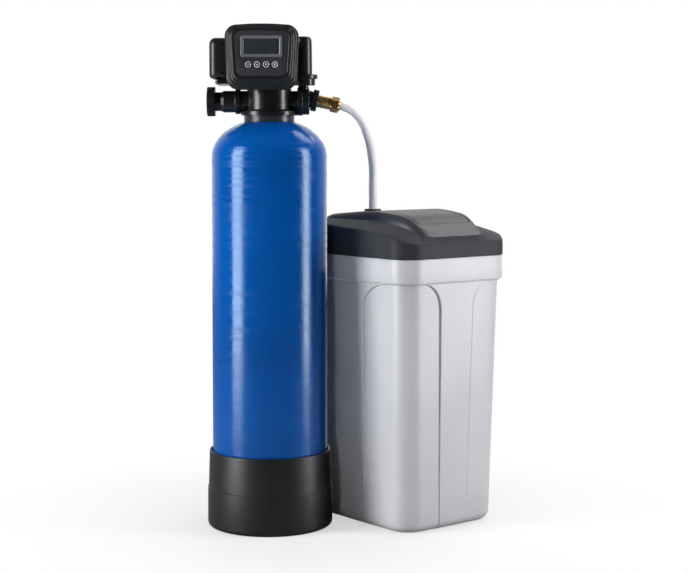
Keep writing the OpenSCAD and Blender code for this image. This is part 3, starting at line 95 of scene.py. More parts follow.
def outline(points, closed=True, steps=5):
    """Outline through (x, y) or (x, y, radius) points in millimetres, with its corners rounded."""
    flat = [Vector(p[:2]) * MM for p in points]
    radii = [p[2] * MM if len(p) > 2 else 0 for p in points]
    result = []
    for i, corner in enumerate(flat):
        if not closed and i in (0, len(flat) - 1):
            result.append(corner)
        else:
            after = flat[(i + 1) % len(flat)]
            result += corner_arc(flat[i - 1], corner, after, radii[i], steps)
    return result


def round_rect(w, h, radius, x=0, y=0):
    """Rectangle outline in millimetres with round corners, round a middle point."""
    return [(x + i * w / 2, y + j * h / 2, radius) for i, j in ((-1, -1), (1, -1), (1, 1), (-1, 1))]


def along(origin, direction):
    """Matrix whose Z axis runs from an origin along a direction."""
    turn = Vector((0, 0, 1)).rotation_difference(Vector(direction))
    return Matrix.Translation(Vector(origin)) @ turn.to_matrix().to_4x4()


def mesh_object(name, points, faces, sharp=SHARP):
    """Object with a clean closed mesh, smooth but for its sharp edges."""
    mesh = bpy.data.meshes.new(name)
    mesh.from_pydata([tuple(p) for p in points], [], faces)
    shape = bmesh.new()
    shape.from_mesh(mesh)
    bmesh.ops.remove_doubles(shape, verts=shape.verts, dist=2e-6)
    bmesh.ops.dissolve_degenerate(shape, edges=shape.edges, dist=1e-6)
    bmesh.ops.recalc_face_normals(shape, faces=shape.faces)
    shape.to_mesh(mesh)
    shape.free()
    mesh.shade_smooth()
    mesh.set_sharp_from_angle(angle=math.radians(sharp))
    return linked(name, mesh)


def loft(name, rings, ends="caps", sharp=SHARP):
    """Skin over a stack of rings of equal length, with capped, open or looped ends."""
    count = len(rings[0])
    total = len(rings)
    points = [p for ring in rings for p in ring]
    faces = []
    for k in range(total if ends == "loop" else total - 1):
        low = k * count
        high = (k + 1) % total * count
        for i in range(count):
            j = (i + 1) % count
            faces.append((low + i, low + j, high + j, high + i))
    if ends == "caps":
        faces.append(tuple(range(count))[::-1])
        faces.append(tuple((total - 1) * count + i for i in range(count)))
    return mesh_object(name, points, faces, sharp)


def lathe(name, profile, place=None, closed=False, segments=96, steps=5, shape=None, sharp=SHARP):
    """Body of revolution from (radius, height, fillet) points in millimetres about the Z axis of a place.

    An open profile starts and ends on the axis. A shape gives a factor for the radius by angle.
    """
    place = place or Matrix.Identity(4)
    rings = []
    for point in outline(profile, closed, steps):
        ring = []
        for i in range(segments):
            angle = math.tau * i / segments
            r = point.x if shape is None else shape(point.x, angle, point.y)
            ring.append(place @ Vector((r * math.cos(angle), r * math.sin(angle), point.y)))
        rings.append(ring)
    return loft(name, rings, "loop" if closed else "open", sharp)


def plate(name, outlines, depth, place, edge=0.0):
    """Flat plate with holes: closed outlines in a plane, a depth and a rounded edge, all in metres."""
    curve = bpy.data.curves.new(name, "CURVE")
    curve.dimensions = "2D"
    curve.fill_mode = "BOTH"
    curve.extrude = depth / 2 - edge
    curve.bevel_depth = edge
    curve.bevel_resolution = 2
    curve.offset = -edge
    for points in outlines:
        spline = curve.splines.new("POLY")
        spline.points.add(len(points) - 1)
        spline.use_cyclic_u = True
        for target, p in zip(spline.points, points):
            target.co = (p.x, p.y, 0, 1)
    flat = linked(name + "_outline", curve)
    solid = flat.evaluated_get(bpy.context.evaluated_depsgraph_get())
    mesh = bpy.data.meshes.new_from_object(solid)
    points = [place @ (v.co + Vector((0, 0, depth / 2))) for v in mesh.vertices]
    faces = [tuple(f.vertices) for f in mesh.polygons]
    bpy.data.objects.remove(flat)
    bpy.data.meshes.remove(mesh)
    return mesh_object(name, points, faces)


def dress(thing, material, body, slot, *nodes):
    """Finish of a piece: its material, its body and the nodes that it stands for; the slot is not used."""
    painted(thing.data, material)
    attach(thing, body)
    if nodes:
        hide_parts(*nodes)
    return thing


# Materials

def tone(code):
    """Linear colour of a hexadecimal screen colour."""
    parts = [int(code[i:i + 2], 16) / 255 for i in (1, 3, 5)]
    return [p / 12.92 if p <= 0.04045 else ((p + 0.055) / 1.055) ** 2.4 for p in parts] + [1.0]


def mapped_noise(tree, scale, stretch, detail, rough=0.55):
    """Noise over a piece's own coordinates, stretched along its axes."""
    coords = tree.nodes.new("ShaderNodeTexCoord")
    mapping = tree.nodes.new("ShaderNodeMapping")
    mapping.inputs["Scale"].default_value = stretch
    noise = tree.nodes.new("ShaderNodeTexNoise")
    noise.inputs["Scale"].default_value = scale
    noise.inputs["Detail"].default_value = detail
    noise.inputs["Roughness"].default_value = rough
    tree.links.new(coords.outputs["Object"], mapping.inputs["Vector"])
    tree.links.new(mapping.outputs["Vector"], noise.inputs["Vector"])
    return noise.outputs["Fac"]


def ranged(tree, value, low, high, start=0.3, stop=0.7):
    """Value moved into a range."""
    node = tree.nodes.new("ShaderNodeMapRange")
    node.inputs["From Min"].default_value = start
    node.inputs["From Max"].default_value = stop
    node.inputs["To Min"].default_value = low
    node.inputs["To Max"].default_value = high
    tree.links.new(value, node.inputs["Value"])
    return node.outputs["Result"]


def blended(tree, value, first, second):
    """Colour between two colours by a value."""
    node = tree.nodes.new("ShaderNodeMix")
    node.data_type = "RGBA"
    node.inputs["A"].default_value = first
    node.inputs["B"].default_value = second
    tree.links.new(value, node.inputs["Factor"])
    return node.outputs["Result"]


def bumped(tree, height, strength, distance, normal=None):
    """Normal of a surface with a height over it."""
    node = tree.nodes.new("ShaderNodeBump")
    node.inputs["Strength"].default_value = strength
    node.inputs["Distance"].default_value = distance
    tree.links.new(height, node.inputs["Height"])
    if normal is not None:
        tree.links.new(normal, node.inputs["Normal"])
    return node.outputs["Normal"]


def combined(tree, operation, first, second):
    """Result of an operation on two values."""
    node = tree.nodes.new("ShaderNodeMath")
    node.operation = operation
    tree.links.new(first, node.inputs[0])
    tree.links.new(second, node.inputs[1])
    return node.outputs["Value"]


def surface(name, light, dark, rough, grain=900, bump=0.06, cloud=14, stretch=(1, 1, 1), **sockets):
    """Moulded or cast surface: a cloudy colour, uneven gloss and a fine grain.

    Light and dark are its two colours, rough its least and most roughness, and sockets are shader values.
    """
    material = bpy.data.materials.new(name)
    material.use_nodes = True
    tree = material.node_tree
    shader = tree.nodes["Principled BSDF"]
    for socket, value in sockets.items():
        shader.inputs[socket.replace("_", " ")].default_value = value
    clouds = mapped_noise(tree, cloud, stretch, 3)
    fine = mapped_noise(tree, grain, stretch, 2)
    mix = blended(tree, ranged(tree, clouds, 0, 1), tone(dark), tone(light))
    tree.links.new(mix, shader.inputs["Base Color"])
    tree.links.new(ranged(tree, fine, rough[0], rough[1]), shader.inputs["Roughness"])
    tree.links.new(bumped(tree, fine, bump, 0.0004), shader.inputs["Normal"])
    return material


def wound_fibre(name, light, dark):
    """Wound and coated fibre: level strands round the vessel, with uneven gloss along them."""
    material = surface(name, light, dark, (0.1, 0.2), grain=1, bump=0, cloud=1.6, stretch=(1, 1, 2.2), IOR=1.55,
                       Specular_Tint=(0.6, 0.82, 1.0, 1.0))
    tree = material.node_tree
    shader = tree.nodes["Principled BSDF"]
    strands = mapped_noise(tree, 4, (1, 1, 45), 3, 0.6)
    threads = mapped_noise(tree, 6, (1, 1, 90), 4, 0.65)
    speck = mapped_noise(tree, 260, (1, 1, 1.6), 3, 0.6)
    normal = bumped(tree, strands, 0.22, 0.0012)
    normal = bumped(tree, threads, 0.3, 0.0009, normal)
    normal = bumped(tree, speck, 0.1, 0.0004, normal)
    tree.links.new(normal, shader.inputs["Normal"])
    tree.links.new(ranged(tree, strands, 0.07, 0.26, 0.42, 0.64), shader.inputs["Roughness"])
    return material


VESSEL_BLUE = wound_fibre("vessel_blue", "#0056ad", "#004a98")
BASE_BLACK = surface("base_black", "#171b1e", "#101316", (0.36, 0.46), grain=1500, bump=0.1)
VALVE_BLACK = surface("valve_black", "#191b1e", "#121315", (0.2, 0.32), grain=1100, bump=0.05)
HEAD_BLACK = surface("head_black", "#1d1f22", "#15171a", (0.26, 0.36), grain=1700, bump=0.08)
PANEL_BLACK = surface("panel_black", "#34363b", "#2c2e32", (0.36, 0.46), grain=2200, bump=0.12)
BUTTON_BLACK = surface("button_black", "#26282c", "#1c1e21", (0.3, 0.4), grain=1800, bump=0.06)
MARK_GREY = surface("mark_grey", "#f4f5f7", "#e8eaed", (0.4, 0.5), grain=2400, bump=0.03)
BEZEL_GREY = surface("bezel_grey", "#72747a", "#66686e", (0.3, 0.4), grain=1800, bump=0.06, Metallic=0.15)
WINDOW_DARK = surface("window_dark", "#33373c", "#2c2f34", (0.1, 0.16), grain=400, bump=0.01)
INSERT_GREY = surface("insert_grey", "#54575c", "#3c3f43", (0.24, 0.36), grain=900, bump=0.08, Metallic=0.6)
BRASS = surface("brass", "#e3bd80", "#c99a58", (0.22, 0.38), grain=700, bump=0.08, cloud=60, Metallic=1.0)
STEEL = surface("steel", "#c9ccd0", "#a4a7ac", (0.2, 0.34), grain=700, bump=0.06, Metallic=1.0)
SEAL_RUBBER = surface("seal_rubber", "#1b1c1e", "#121315", (0.5, 0.62), grain=1200, bump=0.12)
DISC_CERAMIC = surface("disc_ceramic", "#f1efe8", "#e0ddd4", (0.14, 0.24), grain=600, bump=0.03)
GEAR_WHITE = surface("gear_white", "#efece0", "#ddd8c8", (0.36, 0.48), grain=900, bump=0.06)
MOTOR_GREY = surface("motor_grey", "#a9acb1", "#8b8e93", (0.24, 0.38), grain=800, bump=0.06, Metallic=0.9)
BOARD_GREEN = surface("board_green", "#2f6b46", "#245538", (0.34, 0.46), grain=500, bump=0.05, cloud=90)
TURBINE_BLUE = surface("turbine_blue", "#4a7cc4", "#37639f", (0.34, 0.44), grain=900, bump=0.05)
INNER_WHITE = surface("inner_white", "#e4e5e8", "#d3d5d9", (0.4, 0.5), grain=900, bump=0.06)
RESIN_AMBER = surface("resin_amber", "#c08a3c", "#8a5a1e", (0.5, 0.65), grain=1400, bump=0.4, cloud=900)
SALT_GREY = surface("salt_tank_grey", "#cccdd1", "#c3c4c9", (0.34, 0.42), grain=1300, bump=0.08, cloud=5)
LID_CHARCOAL = surface("lid_charcoal", "#3c3e43", "#323438", (0.34, 0.44), grain=1600, bump=0.12, cloud=8,
                       Specular_IOR_Level=0.45)
# Painted shade: a darker, less glossy copy of the lid's charcoal for the ledge and skirt outside the island
LID_PAINTED_SHADE = surface("lid_painted_shade", "#393b40", "#2f3135", (0.44, 0.54), grain=1600, bump=0.12, cloud=8,
                   Specular_IOR_Level=0.14)
PLATFORM_GREY = surface("platform_grey", "#44474c", "#36393d", (0.42, 0.54), grain=900, bump=0.08)
HOSE_PALE = surface("hose_pale", "#f0f0f2", "#e6e6e9", (0.3, 0.4), grain=500, bump=0.03,
                    Subsurface_Weight=0.25, Subsurface_Scale=0.004)

NODE_MATERIALS = {
    "neck_insert": INSERT_GREY, "riser_tube": INNER_WHITE, "bottom_distributor": INNER_WHITE,
    "top_distributor": INNER_WHITE, "resin_bed": RESIN_AMBER, "neck_seal": SEAL_RUBBER,
    "meter_turbine": TURBINE_BLUE, "fixed_disc": DISC_CERAMIC, "moving_disc": DISC_CERAMIC,
    "drive_shaft": STEEL, "drive_gear": GEAR_WHITE, "drive_motor": MOTOR_GREY, "motor_pinion": BRASS,
    "circuit_board": BOARD_GREEN, "cover_screws": STEEL, "chassis_screws": STEEL,
    "hose_ferrule": BRASS, "hatch_pin": STEEL, "salt_platform": PLATFORM_GREY,
    "brine_well": INNER_WHITE, "well_cap": VALVE_BLACK, "safety_valve": INNER_WHITE,
    "brine_pickup": INNER_WHITE, "air_check": INNER_WHITE, "float_rod": STEEL,
    "brine_float": GEAR_WHITE, "overflow_elbow": VALVE_BLACK, "overflow_nut": VALVE_BLACK,
    "head_chassis": VALVE_BLACK, "inlet_adapter": VALVE_BLACK, "drain_tail": VALVE_BLACK,
}
for node, material in NODE_MATERIALS.items():
    painted(frame["nodes"][node].data, material)


# Camera at the photograph's angle, and studio light

camera = linked("camera", bpy.data.cameras.new("camera"))
camera.location = (0.14835, -3.60191, 0.86776)
camera.rotation_euler = (math.radians(90 - 3.52635), 0, math.radians(-0.27485))
camera.data.sensor_width = 36
camera.data.lens = 84.367
camera.data.shift_y = -0.07
bpy.context.scene.camera = camera
bpy.context.scene.view_settings.view_transform = "Standard"

LIGHT_AIM = Vector((0.15, 0.0, 0.6))
LID_AIM = Vector((0.38, 0.0, 0.68))
FLOOR_GLOW = 0.55
FLOOR_SEEN, FLOOR_UNSEEN = "#f4f4f4", "#9a9a9a"


def softbox(name, angle, distance, height, size, radiance, aim=LIGHT_AIM, spread=180):
    """Soft box round the object: its angle from the camera's side and its spread in degrees, and its radiance."""
    turn = math.radians(angle)
    place = Vector((aim.x + distance * math.sin(turn), aim.y - distance * math.cos(turn), height))
    data = bpy.data.lights.new(name, "AREA")
    data.shape = "RECTANGLE"
    data.size, data.size_y = size
    data.energy = radiance * math.pi * size[0] * size[1]
    data.spread = math.radians(spread)
    lamp = linked(name, data)
    lamp.location = place
    lamp.rotation_euler = (aim - place).to_track_quat("-Z", "Y").to_euler()
    return lamp


softbox("left_box", -65, 2.2, 0.75, (0.8, 2.6), 10.5)
softbox("right_box", 78, 2.2, 0.75, (0.52, 2.6), 12.0)
top_box = softbox("top_box", 10, 0.5, 3.2, (2.2, 1.6), 2.4)
top_box.visible_glossy = False
softbox("slope_box", 133, 1.5, 2.5, (1.2, 1.2), 3.0, LID_AIM)
tank_box = softbox("tank_box", -18, 2.4, 0.6, (0.3, 1.5), 0.24, Vector((0.31, 0.06, 0.55)), 18)
tank_box.visible_glossy = False


def build_world():
    """White studio: bright behind the object and dim in front of it, and plain white for the camera."""
    world = bpy.data.worlds.new("studio")
    bpy.context.scene.world = world
    world.use_nodes = True
    tree = world.node_tree
    background = tree.nodes["Background"]
    coords = tree.nodes.new("ShaderNodeTexCoord")
    split = tree.nodes.new("ShaderNodeSeparateXYZ")
    tree.links.new(coords.outputs["Generated"], split.inputs["Vector"])
    depth = ranged(tree, split.outputs["Y"], 0.03, 1, 0.3, 0.9)
    path = tree.nodes.new("ShaderNodeLightPath")
    level = combined(tree, "MAXIMUM", depth, path.outputs["Is Camera Ray"])
    tree.links.new(level, background.inputs["Color"])


build_world()


def build_floor():
    """Pale floor that keeps the object's shadow, and fades to the white of the studio further out."""
    half = 6.0
    corners = [(-half, -half, 0), (half, -half, 0), (half, half, 0), (-half, half, 0)]
    floor = mesh_object("floor", corners, [(0, 1, 2, 3)])
    material = surface("floor_white", FLOOR_SEEN, "#f1f1f1", (0.55, 0.65), grain=200, bump=0.01, cloud=2)
    tree = material.node_tree
    shader = tree.nodes["Principled BSDF"]
    glow = tree.nodes.new("ShaderNodeEmission")
    glow.inputs["Strength"].default_value = 1.0
    path = tree.nodes.new("ShaderNodeLightPath")
    seen = blended(tree, path.outputs["Is Camera Ray"], tone(FLOOR_UNSEEN), tone(FLOOR_SEEN))
    tree.links.new(seen, shader.inputs["Base Color"])
    coords = tree.nodes.new("ShaderNodeTexCoord")
    place = tree.nodes.new("ShaderNodeMapping")
    place.inputs["Location"].default_value = (-LIGHT_AIM.x, -LIGHT_AIM.y, 0)
    reach = tree.nodes.new("ShaderNodeVectorMath")
    reach.operation = "LENGTH"
    tree.links.new(coords.outputs["Object"], place.inputs["Vector"])
    tree.links.new(place.outputs["Vector"], reach.inputs[0])
    far = ranged(tree, reach.outputs["Value"], FLOOR_GLOW, 1, 0.3, 0.85)
    share = combined(tree, "MULTIPLY", far, path.outputs["Is Camera Ray"])
    mix = tree.nodes.new("ShaderNodeMixShader")
    tree.links.new(share, mix.inputs["Fac"])
    tree.links.new(shader.outputs["BSDF"], mix.inputs[1])
    tree.links.new(glow.outputs["Emission"], mix.inputs[2])
    tree.links.new(mix.outputs["Shader"], tree.nodes["Material Output"].inputs["Surface"])
    floor.data.materials.append(material)


build_floor()

# Places and sizes that the frame gives, in millimetres

X, Y, Z = range(3)


def span(node, axis):
    """Lowest and highest place of a node along an axis, in millimetres."""
    low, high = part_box(node)
    return low[axis] / MM, high[axis] / MM


def middle(node, axis):
    """Middle of a node along an axis, in millimetres."""
    return sum(span(node, axis)) / 2


PORT_Z = joints["outlet_nut_spin"]["pos_m"][Z] / MM
FITTING_START = Vector(joints["collar_turn"]["pos_m"])
FITTING_WAY = Vector(joints["collar_turn"]["axis"]).normalized()
LEFT = along(mm(0, 0, PORT_Z), (-1, 0, 0))
RIGHT = along(mm(0, 0, PORT_Z), (1, 0, 0))
BACK = along(mm(0, 0, PORT_Z), (0, 1, 0))
FITTING = along(FITTING_START, FITTING_WAY)


# Brine hose: out of the brass nut, over in one bend, and down through the lid

HOSE_D = 18
HOSE_START = 50.2
HOSE_STEPS = 6
DROP_X = middle("hose_grommet", X)
DROP_Y = middle("hose_grommet", Y)
HOSE_DROP = Matrix.Translation(mm(DROP_X, DROP_Y, 0))
HOSE_BEND = [(176, 2, 935.5), (191, 6, 925.5), (203, 13, 912), (211.5, 21, 897), (218, 30, 880),
             (223.5, 40, 863), (227, 50, 846), (230, 59, 828), (232, 66.5, 811), (233, 72, 793), (233, 75.5, 775)]
HOSE_FALL = (750, 720, 690, 650, 610, 575)


def smooth_path(points, steps):
    """Path through points with a steady bend between them."""
    path = []
    for i in range(len(points) - 1):
        a = points[max(i - 1, 0)]
        b, c = points[i], points[i + 1]
        d = points[min(i + 2, len(points) - 1)]
        for k in range(steps):
            t = k / steps
            path.append(0.5 * (2 * b + (c - a) * t + (2 * a - 5 * b + 4 * c - d) * t ** 2
                               + (3 * b - a - 3 * c + d) * t ** 3))
    return path + [points[-1]]


def build_hose():
    """Pale hose as one run of tube."""
    run = [FITTING_START + FITTING_WAY * (HOSE_START + extra) * MM for extra in (0, 16)]
    run += [Vector(p) * MM for p in HOSE_BEND] + [Vector((DROP_X, DROP_Y, z)) * MM for z in HOSE_FALL]
    path = smooth_path(run, HOSE_STEPS)
    curve = bpy.data.curves.new("brine_hose_tube", "CURVE")
    curve.dimensions = "3D"
    curve.bevel_depth = HOSE_D / 2 * MM
    curve.bevel_resolution = 10
    curve.use_fill_caps = True
    spline = curve.splines.new("POLY")
    spline.points.add(len(path) - 1)
    for target, p in zip(spline.points, path):
        target.co = (*p, 1)
    spline.use_smooth = True
    hose = linked("brine_hose_tube", curve)
    dress(hose, HOSE_PALE, "softener", "hose_pale", "brine_hose")


build_hose()


# Pressure vessel and its boot

VESSEL_R = span("tank_shell", X)[1]
VESSEL_FOOT, NECK_Z = span("tank_shell", Z)
VESSEL_WALL = 5
DOME_H = 86
NECK_R = 56
NECK_HOLE_R = 52
LOW_DOME_Z = VESSEL_FOOT + DOME_H
HIGH_DOME_Z = NECK_Z - DOME_H * math.sin(math.acos(NECK_R / VESSEL_R))
DOME_STEPS = 28
BOOT_TAPER, BOOT_GAP, BOOT_STEP_Z = 4.5, 3, 90
THREADS, THREAD_PITCH = 5, 2.6


def vessel_profile(wall):
    """Half section of the vessel inside a wall, from the axis at its foot to its neck."""
    radius, height = VESSEL_R - wall, DOME_H - wall
    stop = math.acos((NECK_R - wall) / radius)
    low = [math.pi / 2 * (i / DOME_STEPS - 1) for i in range(DOME_STEPS + 1)]
    high = [stop * i / DOME_STEPS for i in range(DOME_STEPS + 1)]
    return ([(radius * math.cos(t), LOW_DOME_Z + height * math.sin(t)) for t in low]
            + [(radius * math.cos(t), HIGH_DOME_Z + height * math.sin(t)) for t in high])


def build_vessel():
    """Wound shell with a wall, and the boot that it stands in."""
    inside = [p for p in vessel_profile(VESSEL_WALL) if p[0] > NECK_HOLE_R or p[1] < HIGH_DOME_Z]
    inside.append((NECK_HOLE_R, inside[-1][1]))
    profile = vessel_profile(0) + [(NECK_HOLE_R, NECK_Z)] + inside[::-1]
    shell = lathe("vessel_shell", profile, segments=160)
    dress(shell, VESSEL_BLUE, "softener", "vessel_blue", "tank_shell")

    foot_r = span("tank_base", X)[1]
    rim_z = span("tank_base", Z)[1]
    rim_r, inner_r = foot_r - BOOT_TAPER, VESSEL_R + BOOT_GAP
    step_r = rim_r + BOOT_TAPER * (1 - BOOT_STEP_Z / rim_z)
    cup = [p for p in vessel_profile(-0.3) if p[1] < LOW_DOME_Z - 1]
    profile = [(0, 0), (foot_r - 22, 0, 0), (foot_r, 0, 11), (step_r + 1.8, BOOT_STEP_Z - 1, 0.5),
               (step_r, BOOT_STEP_Z + 0.8, 0.5), (rim_r, rim_z, 2.4), (inner_r, rim_z, 1.2),
               (inner_r, LOW_DOME_Z)] + cup[::-1]
    boot = lathe("vessel_boot", profile, segments=160)
    dress(boot, BASE_BLACK, "softener", "base_black", "tank_base")

    threads = [(NECK_R - 3, NECK_Z + 0.5)]
    for i in range(THREADS):
        z = NECK_Z + 0.5 + i * THREAD_PITCH
        threads += [(NECK_R - 0.6, z), (NECK_R + 0.3, z + 0.7), (NECK_R + 0.3, z + 1.5), (NECK_R - 0.6, z + 2.2)]
    threads.append((NECK_R - 3, NECK_Z + 0.5 + THREADS * THREAD_PITCH))
    dress(lathe("neck_thread", threads, closed=True, segments=128), INSERT_GREY, "softener", "insert_grey")


build_vessel()


# Valve body with its pipe ports

SPIGOT_H = 30
SEAT_Z = span("valve_body", Z)[0] + SPIGOT_H
VALVE_TOP = span("valve_body", Z)[1]
VALVE_R = 50
FOOT_R = 62.7
PORT_X = span("valve_body", X)[1]
PIPE_R, PIPE_BORE, BRINE_BORE = 24, 16, 9
DRAIN_X, DRAIN_R, DRAIN_BORE = 40, 10, 5


def merged(name, things):
    """One piece out of several meshes in place."""
    shape = bmesh.new()
    for thing in things:
        shape.from_mesh(thing.data)
        bpy.data.objects.remove(thing)
    mesh = bpy.data.meshes.new(name)
    shape.to_mesh(mesh)
    shape.free()
    mesh.set_sharp_from_angle(angle=math.radians(SHARP))
    return linked(name, mesh)


def stub(name, place, radius, bore, start, stop):
    """Pipe stub with a bore and soft edges, along the Z axis of a place."""
    return lathe(name, [(bore, start), (radius, start), (radius, stop, 1), (bore, stop, 0.6)], place, closed=True)


def build_valve():
    """Valve body: a round body over a foot ring, with a flange under its top and four stubs."""
    chamber_r, chamber_z, spigot_r, riser_r = 38.4, 964.0, 36.7, 13.7
    body = lathe("valve_round", [
        (riser_r, SEAT_Z - SPIGOT_H), (spigot_r, SEAT_Z - SPIGOT_H, 1), (spigot_r, SEAT_Z), (FOOT_R, SEAT_Z, 1.2),
        (FOOT_R, SEAT_Z + 10.5, 2), (VALVE_R + 1.4, SEAT_Z + 10.5, 2), (VALVE_R, SEAT_Z + 14, 3),
        (VALVE_R, VALVE_TOP, 1), (chamber_r, VALVE_TOP), (chamber_r, chamber_z), (riser_r, chamber_z)],
        closed=True, segments=128)
    inner = VALVE_R - 8
    parts = [body, stub("stub_left", LEFT, PIPE_R, PIPE_BORE, inner, PORT_X),
             stub("stub_right", RIGHT, PIPE_R, BRINE_BORE, inner, PORT_X),
             stub("stub_back", BACK, PIPE_R, PIPE_BORE, inner, PORT_X)]
    drain = along(mm(DRAIN_X, 0, PORT_Z), (0, 1, 0))
    parts.append(stub("stub_drain", drain, DRAIN_R, DRAIN_BORE, 20, PORT_X))
    dress(merged("valve_casting", parts), VALVE_BLACK, "softener", "valve_black", "valve_body")


build_valve()


# Left outlet: stepped adapter and its ribbed union nut

OUT_START, OUT_STOP = (-value for value in span("outlet_adapter", X)[::-1])
NUT_OUT = -span("outlet_union_nut", X)[0]
NUT_IN = -span("outlet_union_nut", X)[1]
NUT_R = 32.7
NUT_RIBS = 40


def ribbed(count, depth, share=0.5, top=None):
    """Shape rule for lathe: shallow grooves round a rim, as many as the count."""
    def rule(radius, angle, _height):
        """Radius on the grooved rim at an angle."""
        if top is not None and radius < top * MM:
            return radius
        wave = 0.5 + 0.5 * math.cos(angle * count)
        return radius - depth * MM * (1 - min(1, wave / share))
    return rule


def build_outlet():
    """Adapter with a flange, a barrel, a waist and a tail, and a nut that turns on its tail."""
    adapter = lathe("outlet_pipe", [
        (PIPE_BORE, OUT_START), (27.6, OUT_START, 1), (27.6, 75, 1.4), (PIPE_R, 75, 1), (PIPE_R, 100, 1.6),
        (20.9, 107, 2), (20.9, 123, 0.8), (24.8, 123.6, 0.6), (24.8, OUT_STOP, 0.8), (PIPE_BORE, OUT_STOP, 0.5)],
        LEFT, closed=True)
    dress(adapter, VALVE_BLACK, "softener", "valve_black", "outlet_adapter")
    nut = lathe("outlet_nut_ribbed", [
        (21.3, NUT_IN, 0.6), (NUT_R, NUT_IN, 2.6), (NUT_R, NUT_OUT, 2.6), (29, NUT_OUT, 1.2), (28, NUT_OUT - 1.6, 0.6),
        (26, NUT_OUT - 1.6, 0.6), (26, 127.3), (21.3, 127.3)],
        LEFT, closed=True, segments=NUT_RIBS * 8, shape=ribbed(NUT_RIBS, 1.1, 0.75, NUT_R - 3.2))
    dress(nut, VALVE_BLACK, "outlet_nut", "valve_black", "outlet_union_nut")


build_outlet()


# Right port: flange, knurled collar, brass tail and nut, and the upright can

ACTUATOR_X = middle("actuator_can", X)
COLLAR_R = 24
COLLAR_FLUTES = 16
NUT_AF = 30


def build_brine_port():
    """Port flange and barrel with an elbow and a boss for the can."""
    start = span("brine_port", X)[0]
    barrel_stop = FITTING_START.x / MM - COLLAR_R * abs(FITTING_WAY.z) - 0.3
    boss_top = span("brine_port", Z)[1]
    round_part = lathe("port_barrel", [
        (BRINE_BORE, start), (31, start, 1), (31, start + 11.7, 1.6), (29, start + 11.7, 0.8), (29, barrel_stop, 2),
        (BRINE_BORE, barrel_stop)], RIGHT, closed=True)
    elbow = lathe("port_elbow", [(6.5, -13), (19, -13), (19, 0, 0.8), (17, 0), (17, 9.5, 0.6), (6.5, 9.5)],
                  FITTING, closed=True)
    boss = lathe("port_boss", [(0, PORT_Z), (13, PORT_Z), (13, boss_top, 0.6), (0, boss_top)],
                 Matrix.Translation(mm(ACTUATOR_X, 0, 0)))
    dress(merged("port_casting", [round_part, elbow, boss]), VALVE_BLACK, "softener", "valve_black", "brine_port")


def build_fitting():
    """Fluted collar, grooved brass barrel and hexagon nut."""
    collar = lathe("collar_fluted", [
        (17.4, 0.4), (COLLAR_R, 0.4, 1.6), (COLLAR_R, 13.4, 1.6), (14.1, 13.4, 0.5), (14.1, 11.7), (17.4, 11.7)],
        FITTING, closed=True, segments=COLLAR_FLUTES * 14, shape=ribbed(COLLAR_FLUTES, 1.5, 0.55, 18))
    dress(collar, VALVE_BLACK, "collar", "valve_black", "lock_collar")

    bore, barrel, groove = 6.5, 13.7, 13.0
    profile = [(bore, 9.8), (16.5, 9.8, 0.3), (16.5, 11.2, 0.3), (barrel, 11.2)]
    for s in (20, 25, 30, 35):
        profile += [(barrel, s - 0.2, 0.3), (groove, s + 0.3, 0.2), (groove, s + 1.2, 0.2), (barrel, s + 1.7, 0.3)]
    profile += [(barrel, 43.2, 0.5), (12.4, 43.2), (12.4, 50, 0.4), (bore, 50)]
    dress(lathe("barrel_brass", profile, FITTING, closed=True), BRASS, "softener", "brass", "brass_barrel")

    flat = NUT_AF / 2 * MM

    def hexagon(radius, angle, _height):
        """Radius on the nut's flats at an angle."""
        if radius < 13.2 * MM:
            return radius
        side = math.remainder(angle - math.pi / 6, math.pi / 3)
        return min(flat / math.cos(side), radius)

    across = NUT_AF / math.sqrt(3)
    nut = lathe("nut_brass", [
        (12.8, 43.5), (NUT_AF / 2 + 0.3, 43.5), (across + 0.2, 44.9), (across + 0.2, 60.5), (NUT_AF / 2 - 0.6, 62),
        (13.3, 62.2), (12.2, 64.5, 0.6), (9.7, 64.5, 0.4), (9.7, 57.5), (12.8, 57.5)],
        FITTING, closed=True, segments=144, shape=hexagon, sharp=20)
    dress(nut, BRASS, "hose_nut", "brass", "brass_nut")


def build_actuator():
    """Drum with a flange, and the tall can on it."""
    place = Matrix.Translation(mm(ACTUATOR_X, 0, 0))
    low, flange_top = span("actuator_base", Z)
    flange_z, drum_z = flange_top - 9.5, flange_top - 24
    base = lathe("actuator_drum", [
        (0, low), (11.5, low), (11.5, drum_z), (26.6, drum_z, 1.2), (26.6, flange_z, 0.8), (32, flange_z, 1.4),
        (32, flange_top, 1.8), (0, flange_top)], place)
    dress(base, VALVE_BLACK, "softener", "valve_black", "actuator_base")
    low, high = span("actuator_can", Z)
    can = lathe("actuator_cap", [
        (0, low), (20, low, 0.6), (20, low + 12), (19.2, high - 14, 6), (17.6, high, 8), (0, high)], place, steps=8)
    dress(can, HEAD_BLACK, "softener", "head_black", "actuator_can")


build_brine_port()
build_fitting()
build_actuator()


# Control head

